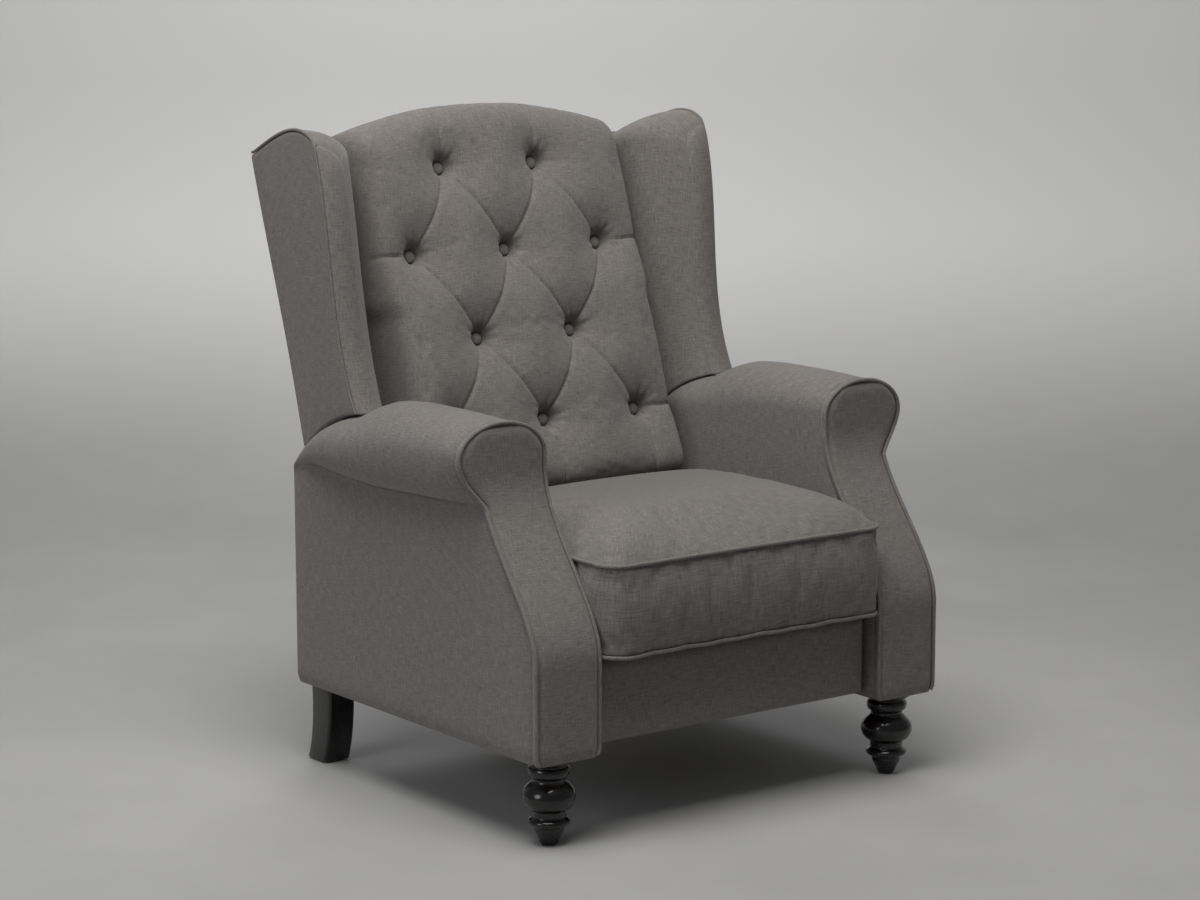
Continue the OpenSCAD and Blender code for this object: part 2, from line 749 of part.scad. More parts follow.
// Wings
wing_steps_s = 10;
wing_steps_t = 18;
wing_gap = half_gap;
wing_rear = frame_back;
function arc_point(angle) = back_pivot + (wing_arc + slip) * [sin(angle), cos(angle)];
arc_front = asin((wing_front_y - pivot_y) / (wing_arc + slip));
// Where the sloping rear edge meets the arc, found along the slope
rear_s0 = let (
    p = slope_point(0, wing_rear, 0) - [0, pivot_y, pivot_z],
    along = [0, sin(back_tilt), cos(back_tilt)],
    h = p * along
) -h + sqrt(h * h - p * p + (wing_arc + slip) * (wing_arc + slip));
function rear_edge(t) = let (q = slope_point(0, wing_rear, mix(rear_s0, wing_rear_len, t))) [q[1], q[2]];
arc_rear = atan2(rear_edge(0)[0] - pivot_y, rear_edge(0)[1] - pivot_z);
function bend3(a, b, c, d, t) = let (u = 1 - t)
    u * u * u * a + 3 * u * u * t * b + 3 * u * t * t * c + t * t * t * d;
wing_low = arc_point(arc_front);
wing_high = [wing_top_y, wing_top_z];
// Where the curve of the front edge heads from its foot, and from where it comes to its top
foot_heading = [66, 118];
top_heading = [44, 130];
function front_edge(t) = bend3(
    wing_low, wing_low + foot_heading, wing_high - top_heading, wing_high, t
);
function low_edge(s) = arc_point(mix(arc_front, arc_rear, s));
function high_edge(s) = mix(wing_high, rear_edge(1), s) + [0, wing_hump * sin(180 * pow(s, 0.7))];
function wing_point(s, t) =
    mix(front_edge(t), rear_edge(t), s) + mix(low_edge(s), high_edge(s), t)
    - mix(mix(wing_low, rear_edge(0), s), mix(wing_high, rear_edge(1), s), t);
function wing_out(z) = half_body - wing_lean * (1 - smooth((z - wing_low[1]) / 330));
function wing_thick(s, t, full) =
    wing_nose + (full - wing_nose) * roll_over(s, 0.42) * roll_over(1.04 - t, 0.2);
function wing_grid(s, t, inner) = let (p = wing_point(s, t), out = wing_out(p[1]))
    [inner ? out - wing_thick(s, t, out - wing_gap) : out, p[0], p[1]];
module wing() {
    sheets = [for (inner = [false, true]) [for (j = [0:wing_steps_t])
        [for (i = [0:wing_steps_s]) wing_grid(i / wing_steps_s, j / wing_steps_t, inner)]]];
    color(fabric) shell(sheets[0], sheets[1]);
}

// Front hanger
module hanger() {
    color(steel) slab(layer_x(1), plate_t) difference() {
        strap(hanger_top, rod_rear);
        holes([hanger_top, hanger_end, rod_rear]);
    }
}
module hanger_rivets() {
    color(zinc) both_sides() rivet(rod_rear, 1, 4);
}

// Seat
flange_t = 4;
flange_in = 205;
flange_z = deck_z - flange_t;
cushion_base = deck_z + 0.3;
seat_plate_rear = pivot_y + 15;
seat_plate_front = upper_pivot[0] - 13;
module seat_plate() {
    color(steel) {
        slab(layer_x(2), plate_t) difference() {
            polygon([
                [seat_plate_rear, lever_end[1] - 14],
                [seat_plate_rear, flange_z],
                [seat_plate_front, flange_z],
                [seat_plate_front, link_z - 15],
                [lower_pivot[0] + 30, link_z - 18],
                [hanger_end[0] - 40, lever_end[1] - 14]
            ]);
            holes([hanger_end, lever_end, upper_pivot, lower_pivot]);
        }
        translate([flange_in, seat_plate_front, flange_z])
            cube([layer_x(2) + plate_t - flange_in, seat_plate_rear - seat_plate_front, flange_t]);
    }
}
seat_rail_w = 25;
seat_rail_h = 40;
rail_half = layer_x(4) - 4;
module seat_rail(y) {
    color(wood) translate([-rail_half, y, flange_z - seat_rail_h])
        cube([2 * rail_half, seat_rail_w, seat_rail_h]);
}
seat_front_y = -link_front;
seat_rear_y = seat_plate_rear - seat_rail_w - 5;
module seat_springs() {
    color(zinc) for (k = [0:spring_count - 1])
        translate([(k - (spring_count - 1) / 2) * (flange_in / spring_count * 2),
            seat_front_y + 8, flange_z + wire_r]) rotate([-90, 0, 0])
                wavy_wire(seat_rear_y - seat_front_y + 8, spring_w, spring_bends);
}
module seat_rivets() {
    color(zinc) both_sides() {
        rivet(hanger_end, 1, 2, loose_inner = false);
        rivet(upper_pivot, 2, 3);
        rivet(lower_pivot, 2, 3);
    }
}
// Cushion outline: rounded corners, with the sides drawn in between them
corner_r = 40;
side_pull = 3;
cushion_mid = (cushion_rear - cushion_front) / 2;
cushion_half_d = (cushion_rear + cushion_front) / 2;
// The cushion hangs down in front of the seat frame from here
drop_y = lip_depth - cushion_front;
drop_run = 1.5;
side_places = [
    drop_y - drop_run, drop_y, -270, -215, -160, -100, -40, 20, 70
];
corner_steps = 5;
function corner_arc(cx, cy, from, inset) = [for (i = [0:corner_steps])
    let (a = from + 90 * i / corner_steps)
    [cx + (corner_r - inset) * cos(a), cushion_mid + cy + (corner_r - inset) * sin(a)]];
// Right half of the outline from the middle of the front to the middle of the rear
function outline_right(inset) = let (
    cx = cushion_w / 2 - corner_r,
    cy = cushion_half_d - corner_r
) concat(
    [for (t = [0.12, 0.37, 0.62, 0.85]) [cx * t, -cushion_front + inset + side_pull * (1 - t * t)]],
    corner_arc(cx, -cy, -90, inset),
    [for (y = side_places) [
        cushion_w / 2 - inset - side_pull * sin(180 * (y + cushion_front) / (2 * cushion_half_d)), y
    ]],
    corner_arc(cx, cy, 0, inset),
    [for (t = [0.8, 0.5, 0.17]) [cx * t, cushion_rear - inset]]
);
function seat_outline(inset) = let (right = outline_right(inset))
    concat(right, [for (p = reversed(right)) [-p[0], p[1]]]);
// The rear of the cushion drops under the back
function seat_piping(y) = cushion_top - 70 * smooth((y + 60) / (cushion_rear + 60));
function seat_low(y) = mix(cushion_low, cushion_base, clamp01((y - drop_y + drop_run) / drop_run));
crown_steps = [0.015, 0.045, 0.09, 0.15, 0.24, 0.36, 0.52, 0.72, 0.9];
module seat_cushion() {
    sides = [[8, 0], [2, 0.04], [-1, 0.2], [-2, 0.5], [-1, 0.8], [2, 0.96]];
    under = [for (p = seat_outline(20))
        [p[0], p[1] < drop_y ? drop_y + (p[1] - drop_y) / 50 : p[1], cushion_base]];
    boxing = [for (e = sides) [for (p = seat_outline(e[0] + 2))
        [p[0], p[1], mix(seat_low(p[1]), seat_piping(p[1]), e[1])]]];
    crown = [for (k = concat([0], crown_steps)) [for (q = seat_outline(0)) let (
        x = q[0] * (1 - k),
        y = cushion_mid + (q[1] - cushion_mid) * (1 - k),
        dome = 0.78 + 0.22 * cos(90 * x / cushion_w * 2) * cos(90 * (y - cushion_mid) / cushion_half_d)
    ) [x, y, seat_piping(y) + crown_h * dome * (1 - pow(1 - k, 7))]]];
    color(fabric) skin(concat([under], boxing, crown));
}

// Footrest linkage
module upper_link() {
    color(steel) slab(layer_x(3), plate_t) difference() {
        union() {
            strap(upper_pivot, upper_end);
            strap(upper_end, slim_end, link_r - 1);
        }
        holes([upper_pivot, upper_end, slim_end]);
    }
}
module upper_link_rivets() {
    color(zinc) both_sides() {
        rivet(upper_end, 3, 4);
        rivet(slim_end, 3, 4);
    }
}
tube_at = lower_pivot + link_reach / 2;
module lower_link() {
    color(steel) slab(layer_x(3), plate_t) difference() {
        union() {
            strap(lower_pivot, lower_end);
            translate(rod_front) circle(link_r);
        }
        holes([lower_pivot, lower_end, rod_front]);
    }
}
module link_torque_tube() {
    color(steel) translate([0, tube_at[0], tube_at[1]]) rotate([0, 90, 0])
        difference() {
            cylinder(r = tube_r, h = 2 * layer_x(3), center = true);
            cylinder(r = tube_r - 2, h = 2 * layer_x(3) + cut, center = true);
        }
}
module lower_link_rivets() {
    color(zinc) both_sides() rivet(rod_front, 3, 4, big_head = true);
}
// The long bar dips between the two links, so that the slim bar's rear eye can pass over it
dip_at = (lower_end + upper_end) / 2 - [0, bar_dip];
module long_bar() {
    color(steel) slab(layer_x(4), plate_t) difference() {
        union() {
            strap(lower_end, dip_at, link_r - 1);
            strap(dip_at, upper_end, link_r - 1);
            strap(upper_end, foot_pivot, link_r - 1);
        }
        holes([lower_end, upper_end, foot_pivot]);
    }
}
module long_bar_rivets() {
    color(zinc) both_sides() {
        rivet(lower_end, 3, 4, loose_inner = false);
        rivet(foot_pivot, 3, 4, loose_inner = false);
    }
}
slim_r = link_r - 2;
module slim_bar() {
    color(steel) slab(layer_x(4), plate_t) difference() {
        strap(slim_end, foot_upper, slim_r);
        holes([slim_end, foot_upper]);
    }
}
module push_rods() {
    color(steel) both_sides() slab(layer_x(4), plate_t) difference() {
        union() {
            strap(rod_rear, rod_front, link_r - 3);
            translate(rod_front) circle(rivet_r + eye_play + 3);
            translate(rod_rear) circle(link_r - 1);
        }
        holes([rod_rear]);
        holes([rod_front], rivet_r + eye_play);
    }
}
board_rear = -footrest_front + footrest_pad_t + board_t;
bracket_t = 3;
module footrest_bracket() {
    color(steel) {
        slab(layer_x(3), plate_t) difference() {
            union() {
                strap(foot_pivot, foot_upper, link_r - 1);
                polygon([
                    [board_rear + 1, foot_pivot[1] - 6],
                    [foot_pivot[0], foot_pivot[1] - 6],
                    [foot_upper[0], foot_upper[1] + 5],
                    [board_rear + 1, foot_upper[1] + 5]
                ]);
            }
            holes([foot_pivot, foot_upper]);
        }
        translate([layer_x(3) - 30, board_rear, foot_pivot[1] - link_r - 15])
            cube([30 + plate_t - 0.5, bracket_t, foot_gap + 2 * link_r + 10]);
    }
}
module footrest_rivets() {
    color(zinc) both_sides() rivet(foot_upper, 3, 4);
}
footrest_half = half_gap - 5;
module footrest_board() {
    color(wood) translate([-footrest_half + 6, board_rear - board_t, footrest_low + 5])
        cube([2 * footrest_half - 12, board_t, footrest_top - footrest_low - 10]);
}
pad_sides = 40;
function power(v, p) = sign(v) * pow(abs(v), p);
module footrest_pad() {
    mid_z = (footrest_low + footrest_top) / 2;
    half_h = (footrest_top - footrest_low) / 2;
    rear = board_rear - board_t;
    levels = [[0, 0], [0, 0.6], [3, 0.86], [12, 0.97], [40, 1]];
    color(fabric) skin([for (e = levels) [for (i = [0:pad_sides - 1]) let (
        a = -360 * (i + 0.5) / pad_sides,
        c = power(cos(a), 2 / 14), s = power(sin(a), 2 / 14)
    ) [(footrest_half - e[0]) * c, rear - footrest_pad_t * e[1], mid_z + (half_h - e[0]) * s]]]);
}

on_left() color(wood) arm_frame();  // arm_frame_left
color(wood) arm_frame();  // arm_frame_right
on_left() arm_pad();  // arm_pad_left
arm_pad();  // arm_pad_right
on_left() arm_facing();  // arm_facing_left
arm_facing();  // arm_facing_right
rear_rail();
rear_panel();
on_left() base_plate();  // base_plate_left
base_plate();  // base_plate_right
base_cross_tube();
base_rivets();
on_left() front_leg();  // front_leg_left
front_leg();  // front_leg_right
on_left() rear_leg();  // rear_leg_left
rear_leg();  // rear_leg_right
leg_bolts();
leg_glides();
on_left() back_stile();  // back_stile_left
back_stile();  // back_stile_right
back_top_rail();
back_bottom_rail();
back_springs();
back_cushion();
back_buttons();
on_left() wing();  // wing_left
wing();  // wing_right
back_panel();
on_left() back_bracket();  // back_bracket_left
back_bracket();  // back_bracket_right
back_rivets();
on_left() hanger();  // hanger_left
hanger();  // hanger_right
hanger_rivets();
on_left() seat_plate();  // seat_plate_left
seat_plate();  // seat_plate_right
seat_rail(seat_front_y);  // seat_front_rail
seat_rail(seat_rear_y);  // seat_rear_rail
seat_springs();
seat_cushion();
seat_rivets();
on_left() upper_link();  // upper_link_left
upper_link();  // upper_link_right
upper_link_rivets();
on_left() lower_link();  // lower_link_left
lower_link();  // lower_link_right
link_torque_tube();
lower_link_rivets();
on_left() long_bar();  // long_bar_left
long_bar();  // long_bar_right
long_bar_rivets();
on_left() slim_bar();  // slim_bar_left
slim_bar();  // slim_bar_right
push_rods();
on_left() footrest_bracket();  // footrest_bracket_left
footrest_bracket();  // footrest_bracket_right
footrest_rivets();
footrest_board();
footrest_pad();
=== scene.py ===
import json
import bmesh
import bpy
import numpy as np
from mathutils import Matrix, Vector


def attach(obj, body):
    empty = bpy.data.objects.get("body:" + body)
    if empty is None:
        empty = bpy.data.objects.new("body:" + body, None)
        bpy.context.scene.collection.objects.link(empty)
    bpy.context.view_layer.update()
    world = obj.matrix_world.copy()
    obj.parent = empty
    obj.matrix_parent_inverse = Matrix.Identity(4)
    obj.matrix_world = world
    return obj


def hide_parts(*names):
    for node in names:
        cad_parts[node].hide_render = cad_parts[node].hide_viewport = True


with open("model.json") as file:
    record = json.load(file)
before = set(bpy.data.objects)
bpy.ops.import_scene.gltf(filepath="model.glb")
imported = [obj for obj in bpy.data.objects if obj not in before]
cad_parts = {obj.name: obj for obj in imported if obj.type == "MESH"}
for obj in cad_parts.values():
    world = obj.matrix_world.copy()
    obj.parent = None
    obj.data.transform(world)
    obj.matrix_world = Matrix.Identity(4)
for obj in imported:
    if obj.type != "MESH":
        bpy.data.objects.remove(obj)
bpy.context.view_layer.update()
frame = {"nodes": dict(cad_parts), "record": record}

# Room: a pale seamless studio floor that curves up behind the chair, with one large soft lamp
# overhead, weaker ones from the left and the rear, and plain light from the room. It isn't
# part of the chair.


def linear(code):
    """Linear colour of an sRGB hex value."""
    parts = [int(code[i:i + 2], 16) / 255 for i in (1, 3, 5)]
    straight = [c / 12.92 if c <= 0.04045 else ((c + 0.055) / 1.055) ** 2.4 for c in parts]
    return tuple(straight) + (1.0,)


def add(tree, kind, settings=None, inputs=None):
    """A new node in a material or geometry tree, with its settings, values and links."""
    node = tree.nodes.new(kind)
    for name, value in (settings or {}).items():
        setattr(node, name, value)
    for name, value in (inputs or {}).items():
        if isinstance(value, bpy.types.NodeSocket):
            tree.links.new(value, node.inputs[name])
        else:
            node.inputs[name].default_value = value
    return node


def shades(node, *stops):
    """The colours of a ramp at their places: its two ends, then any between them."""
    ramp = node.color_ramp.elements
    for k, (position, code) in enumerate(stops):
        stop = ramp[k] if k < 2 else ramp.new(position)
        stop.position, stop.color = position, linear(code)


def new_material(name, **values):
    """A material with one Principled shader, and that shader's plain values set on its sockets."""
    material = bpy.data.materials.new(name)
    material.use_nodes = True
    shader = material.node_tree.nodes["Principled BSDF"]
    for socket, value in values.items():
        shader.inputs[socket.replace("_", " ")].default_value = value
    return material, material.node_tree, shader


def linked(name, data):
    """A new object in the scene with this mesh, lamp or camera."""
    holder = bpy.data.objects.new(name, data)
    bpy.context.scene.collection.objects.link(holder)
    return holder


def aimed(name, data, place, aim):
    """A lamp or a camera at its place, turned to what it is aimed at."""
    holder = linked(name, data)
    holder.location = place
    holder.rotation_euler = (Vector(aim) - Vector(place)).to_track_quat("-Z", "Y").to_euler()
    return holder


floor_paint, tree, shader = new_material(
    "Painted plaster floor and wall", Roughness=0.85, Specular_IOR_Level=0.2)
place = add(tree, "ShaderNodeTexCoord")
# Rolled paint dries in faint clouds about half a metre across
cloud = add(tree, "ShaderNodeTexNoise", None, {
    "Vector": place.outputs["Object"], "Scale": 1.6, "Detail": 5.0, "Roughness": 0.6})
tone = add(tree, "ShaderNodeValToRGB", None, {"Fac": cloud.outputs["Fac"]})
shades(tone, (0.3, "#a2a2a2"), (0.7, "#acacab"))
# The wall is painted paler than the floor, with the change lost in the bend between them
height = add(tree, "ShaderNodeSeparateXYZ", None, {"Vector": place.outputs["Object"]})
rise = add(tree, "ShaderNodeMapRange", {"interpolation_type": "SMOOTHSTEP"}, {
    "Value": height.outputs["Z"], "From Min": 0.01, "From Max": 0.6})
paint = add(tree, "ShaderNodeMix", {"data_type": "RGBA"}, {
    0: rise.outputs["Result"], 6: tone.outputs["Color"], 7: linear("#e9e9e8")})
tree.links.new(paint.outputs[2], shader.inputs["Base Color"])
# The wall is left open from behind, so that the chair's back can be seen past it
behind = add(tree, "ShaderNodeNewGeometry").outputs["Backfacing"]
clear = add(tree, "ShaderNodeBsdfTransparent")
one_sided = add(tree, "ShaderNodeMixShader", None, {
    0: behind, 1: shader.outputs["BSDF"], 2: clear.outputs["BSDF"]})
tree.links.new(one_sided.outputs["Shader"], tree.nodes["Material Output"].inputs["Surface"])

bend_from, bend_radius, wall_top, reach = 1.7, 0.9, 4.0, 7.0
profile = [(-reach, 0.0), (bend_from, 0.0)]
profile += [
    (bend_from + bend_radius * np.sin(a), bend_radius * (1 - np.cos(a)))
    for a in np.radians(np.arange(7.5, 91, 7.5))
]
profile.append((bend_from + bend_radius, wall_top))
# The sweep stands square to the view from the chair's front left
turn = np.radians(-36.82)
across = np.array([np.cos(turn), np.sin(turn), 0])
away = np.array([-np.sin(turn), np.cos(turn), 0])
corners = [
    tuple(across * side + away * y + np.array([0, 0, z]))
    for y, z in profile for side in (-reach, reach)
]
sweep = bpy.data.meshes.new("studio_floor")
sweep.from_pydata(corners, [], [
    (2 * i, 2 * i + 1, 2 * i + 3, 2 * i + 2) for i in range(len(profile) - 1)
])
sweep.polygons.foreach_set("use_smooth", [True] * len(sweep.polygons))
sweep.materials.append(floor_paint)
floor = linked("studio_floor", sweep)

world = bpy.data.worlds.new("Studio")
bpy.context.scene.world = world
world.use_nodes = True
world.node_tree.nodes["Background"].inputs["Color"].default_value = linear("#eef0f2")
world.node_tree.nodes["Background"].inputs["Strength"].default_value = 0.18


def lamp(name, place, aim, size, power, colour):
    """A soft round lamp."""
    light = bpy.data.lights.new(name, "AREA")
    light.shape, light.size, light.energy = "DISK", size, power
    light.color = linear(colour)[:3]
    aimed(name, light, place, aim)


lamp("Overhead", (-0.8, -0.7, 3.3), (0, 0, 0.5), 2.2, 90, "#fffdfa")
lamp("Left", (-3.6, -0.4, 1.7), (0, 0, 0.5), 1.6, 22, "#f8faff")
lamp("Rear", (1.0, 1.9, 2.3), (0, 0.3, 0.5), 1.4, 13, "#fdfdff")

camera = bpy.data.cameras.new("View")
camera.lens, camera.sensor_width = 98.54, 36
bpy.context.scene.camera = aimed(
    "View", camera, (-2.948, -3.961, 1.344), (-0.008, -0.0334, 0.4929))
bpy.context.scene.view_settings.view_transform = "Standard"

# Frame and mechanism: plywood arm and back frames, black powder-coated plates, links and cross
# tubes of 4 mm steel, zinc-plated shoulder rivets and bolts, and sinuous springs under the
# cushions. They keep their solids and get the finish of the real metal and wood.
black_coat, tree, shader = new_material(
    "Black powder coat on steel", Roughness=0.42, Base_Color=linear("#1b1b1d"))
place = add(tree, "ShaderNodeTexCoord")
# Powder coat flows out in a fine orange peel about 0.6 mm across
peel = add(tree, "ShaderNodeTexNoise", None, {
    "Vector": place.outputs["Object"], "Scale": 1600.0, "Detail": 2.0})
rub = add(tree, "ShaderNodeTexNoise", None, {
    "Vector": place.outputs["Object"], "Scale": 28.0, "Detail": 6.0, "Roughness": 0.7})
worn = add(tree, "ShaderNodeMapRange", None, {
    "Value": rub.outputs["Fac"], "From Min": 0.35, "From Max": 0.75,
    "To Min": 0.36, "To Max": 0.56})
tree.links.new(worn.outputs["Result"], shader.inputs["Roughness"])
bump = add(tree, "ShaderNodeBump", None, {
    "Height": peel.outputs["Fac"], "Strength": 0.12, "Distance": 0.0003})
tree.links.new(bump.outputs["Normal"], shader.inputs["Normal"])

zinc_plate, tree, shader = new_material(
    "Zinc plated steel", Metallic=1.0, Roughness=0.35, Base_Color=linear("#b3b6b8"))
place = add(tree, "ShaderNodeTexCoord")
# Passivated zinc has a faint cloudy bloom and fine drawing lines along the wire
bloom = add(tree, "ShaderNodeTexNoise", None, {
    "Vector": place.outputs["Object"], "Scale": 60.0, "Detail": 5.0})
cloudy = add(tree, "ShaderNodeMapRange", None, {
    "Value": bloom.outputs["Fac"], "From Min": 0.3, "From Max": 0.7, "To Min": 0.26, "To Max": 0.5})
tree.links.new(cloudy.outputs["Result"], shader.inputs["Roughness"])

frame_wood, tree, shader = new_material("Raw plywood and pine", Roughness=0.72)
place = add(tree, "ShaderNodeTexCoord")
# Grain runs along the boards in streaks about 3 mm wide
stretch = add(tree, "ShaderNodeMapping", None, {
    "Vector": place.outputs["Object"], "Scale": (22.0, 22.0, 320.0)})
grain = add(tree, "ShaderNodeTexNoise", None, {
    "Vector": stretch.outputs["Vector"], "Scale": 1.0, "Detail": 6.0, "Roughness": 0.65})
tone = add(tree, "ShaderNodeValToRGB", None, {"Fac": grain.outputs["Fac"]})
shades(tone, (0.3, "#9c7a4e"), (0.72, "#cfb083"))
tree.links.new(tone.outputs["Color"], shader.inputs["Base Color"])
bump = add(tree, "ShaderNodeBump", None, {
    "Height": grain.outputs["Fac"], "Strength": 0.25, "Distance": 0.0006})
tree.links.new(bump.outputs["Normal"], shader.inputs["Normal"])

glide_plastic, tree, shader = new_material(
    "Moulded nylon", Roughness=0.5, Base_Color=linear("#202021"))
place = add(tree, "ShaderNodeTexCoord")
# The etched face of the mould leaves a matt grain about 1 mm across
mould = add(tree, "ShaderNodeTexNoise", None, {
    "Vector": place.outputs["Object"], "Scale": 900.0, "Detail": 2.0})
bump = add(tree, "ShaderNodeBump", None, {
    "Height": mould.outputs["Fac"], "Strength": 0.2, "Distance": 0.0002})
tree.links.new(bump.outputs["Normal"], shader.inputs["Normal"])

finish_of = {
    "painted_steel": black_coat, "zinc_steel": zinc_plate, "frame_wood": frame_wood,
    "glide_nylon": glide_plastic,
}
for subpart in frame["record"]["subparts"]:
    if subpart["material_slot"] in finish_of:
        node = frame["nodes"][subpart["node"]]
        node.data.materials.clear()
        node.data.materials.append(finish_of[subpart["material_slot"]])

# Arms: each is padded board covered in one linen-look cloth. The outer panel is pulled flat,
# and the roll over it swells to the front, narrows to the rear and is tucked in a crease below.
# The shaped facing over the front end is edged with self piping.
linen, tree, shader = new_material(
    "Linen look polyester weave", Roughness=0.88, Sheen_Weight=0.22, Sheen_Roughness=0.45,
    Specular_IOR_Level=0.25)
cloth = add(tree, "ShaderNodeUVMap", {"uv_map": "Cloth"})
# Threads are drawn 1.3 mm apart, about twice the real spacing, so that the weave shows
thread = 0.0013
parts = add(tree, "ShaderNodeSeparateXYZ", None, {"Vector": cloth.outputs["UV"]})


def thread_wave(axis):
    """Rounded threads that lie side by side across one direction of the cloth."""
    count = add(tree, "ShaderNodeMath", {"operation": "MULTIPLY"},
                {0: parts.outputs[axis], 1: float(np.pi / thread)})
    wave = add(tree, "ShaderNodeMath", {"operation": "SINE"}, {0: count.outputs[0]})
    return add(tree, "ShaderNodeMath", {"operation": "ABSOLUTE"}, {0: wave.outputs[0]}).outputs[0]


def slubs(wide, high, seed):
    """Thicker stretches of yarn, as streaks this wide and this high on the cloth."""
    laid = add(tree, "ShaderNodeMapping", None, {
        "Vector": cloth.outputs["UV"], "Location": (3.7 * seed, 1.9 * seed, 0),
        "Scale": (1 / wide, 1 / high, 1.0)})
    return add(tree, "ShaderNodeTexNoise", {"noise_dimensions": "2D"}, {
        "Vector": laid.outputs["Vector"], "Scale": 1.0, "Detail": 3.0, "Roughness": 0.6,
    }).outputs["Fac"]


checker = add(tree, "ShaderNodeTexChecker", None, {
    "Vector": cloth.outputs["UV"], "Scale": 1 / thread,
    "Color1": (1, 1, 1, 1), "Color2": (0, 0, 0, 1)})
weave = add(tree, "ShaderNodeMix", {"data_type": "FLOAT"}, {
    0: checker.outputs["Fac"], 2: thread_wave("X"), 3: thread_wave("Y")})
weft_slub, warp_slub = slubs(0.020, 0.0013, 1), slubs(0.0012, 0.016, 2)
both = add(tree, "ShaderNodeMath", {"operation": "ADD"}, {0: weft_slub, 1: warp_slub})
# Besides the bump, the rounded threads are painted into the colour: painted light on their crowns
# and painted shade in the hollows between them. The slubs add the yarn's own uneven tone.
slub_tone_and_thread_shade = add(tree, "ShaderNodeMath", {"operation": "MULTIPLY_ADD"}, {
    0: weave.outputs[0], 1: 0.16, 2: both.outputs[0]})
tone = add(tree, "ShaderNodeValToRGB", None, {"Fac": add(tree, "ShaderNodeMath", {
    "operation": "MULTIPLY"}, {0: slub_tone_and_thread_shade.outputs[0], 1: 0.5}).outputs[0]})
shades(tone, (0.38, "#5f5b58"), (0.72, "#86827e"), (0.54, "#726e6b"))
tree.links.new(tone.outputs["Color"], shader.inputs["Base Color"])
yarn_bump = add(tree, "ShaderNodeBump", None, {
    "Height": both.outputs[0], "Strength": 0.28, "Distance": 0.0007})
weave_bump = add(tree, "ShaderNodeBump", None, {
    "Height": weave.outputs[0], "Strength": 0.45, "Distance": 0.0004,
    "Normal": yarn_bump.outputs["Normal"]})
tree.links.new(weave_bump.outputs["Normal"], shader.inputs["Normal"])


def quads(rows, cols, first=0, wrap=False):
    """Faces of a grid of points whose numbers start at first."""
    j, i = np.meshgrid(np.arange(rows - 1), np.arange(cols if wrap else cols - 1), indexing="ij")
    a, b = (first + j * cols + i).ravel(), (first + j * cols + (i + 1) % cols).ravel()
    return np.stack([a, b, b + cols, a + cols], 1)


def upholster(name, sheets):
    """One closed skin from grids of points that share their borders, with cloth laid along each."""
    points, faces, laid, first = [], [], [], 0
    for grid in sheets:
        grid = np.asarray(grid, float)
        rows, cols, _ = grid.shape
        across_it = np.linalg.norm(np.diff(grid, axis=1), axis=2).mean(0)
        along = np.linalg.norm(np.diff(grid, axis=0), axis=2).mean(1)
        u, v = np.concatenate([[0], across_it.cumsum()]), np.concatenate([[0], along.cumsum()])
        square = quads(rows, cols, first)
        flat = np.stack(np.meshgrid(u, v), 2).reshape(-1, 2)
        points.append(grid.reshape(-1, 3))
        faces.append(square)
        laid.append(flat[(square - first).ravel()])
        first += rows * cols
    mesh = bpy.data.meshes.new(name)
    mesh.from_pydata(np.concatenate(points).tolist(), [], np.concatenate(faces).tolist())
    mesh.uv_layers.new(name="Cloth").data.foreach_set("uv", np.concatenate(laid).ravel())
    work = bmesh.new()
    work.from_mesh(mesh)
    bmesh.ops.remove_doubles(work, verts=work.verts, dist=2e-5)
    bmesh.ops.dissolve_degenerate(work, edges=work.edges, dist=1e-6)
    open_edges = [e for e in work.edges if e.is_boundary]
    if open_edges:
        caps = bmesh.ops.holes_fill(work, edges=open_edges, sides=0)["faces"]
        bmesh.ops.triangulate(work, faces=caps)
    bmesh.ops.recalc_face_normals(work, faces=work.faces)
    work.to_mesh(mesh)
    work.free()
    mesh.polygons.foreach_set("use_smooth", np.ones(len(mesh.polygons), bool))
    mesh.materials.append(linen)
    return linked(name, mesh)


def smooth(t):
    """An even step from 0 to 1, level at both ends."""
    t = np.clip(t, 0, 1)
    return t * t * (3 - 2 * t)


def round_over(d, r):
    """Share of its full height that padding has at a distance d in from an edge rounded to r."""
    return np.sqrt(np.clip(1 - (1 - np.clip(d / r, 0, 1)) ** 2, 0, 1))


def eased(n, a, b):
    """n places from a to b, closer together at both ends."""
    t = np.linspace(0, 1, n)
    return a + (b - a) * (0.55 * t + 0.45 * (0.5 - 0.5 * np.cos(np.pi * t)))


def front_y(z):
    """The facing's face: upright at the bottom, swept back between the seat and the roll."""
    return -0.375 + 0.130 * smooth(np.clip((z - 0.270) / 0.255, 0, 1) ** 0.95)


body_low, arm_rear, arm_in, arm_out, facing_depth = 0.128, 0.268, 0.262, 0.370, 0.014
roll_places = [-0.25, -0.14, -0.04, 0.01, 0.04, 0.066, 0.088, 0.12, 0.147, 0.175, 0.20, 0.22, 0.239,
               0.255, 0.268]
roll_tops = [0.5945, 0.598, 0.598, 0.594, 0.5855, 0.5745, 0.5635, 0.5583, 0.5507, 0.5395, 0.5257,
             0.5122, 0.4957, 0.479, 0.4635]
crease_places, crease_heights = [-0.243, -0.11, 0.02, 0.10, 0.186, 0.25, 0.268], [
    0.478, 0.472, 0.468, 0.472, 0.477, 0.470, 0.455]
swell_places, swells = [-0.25, 0.0, 0.08, 0.15, 0.205, 0.245, 0.268], [
    0.038, 0.0385, 0.035, 0.026, 0.013, 0.003, 0.0]
inner_steps, over_steps = 26, 40
scroll_front = front_y(0.56) + facing_depth
# From here to the rear, the arm's rounded inner edge follows the arc that the foot of the wing
# sweeps about the back's pivot
arc_from, pivot_y, pivot_z = 0.10, 0.065, 0.310


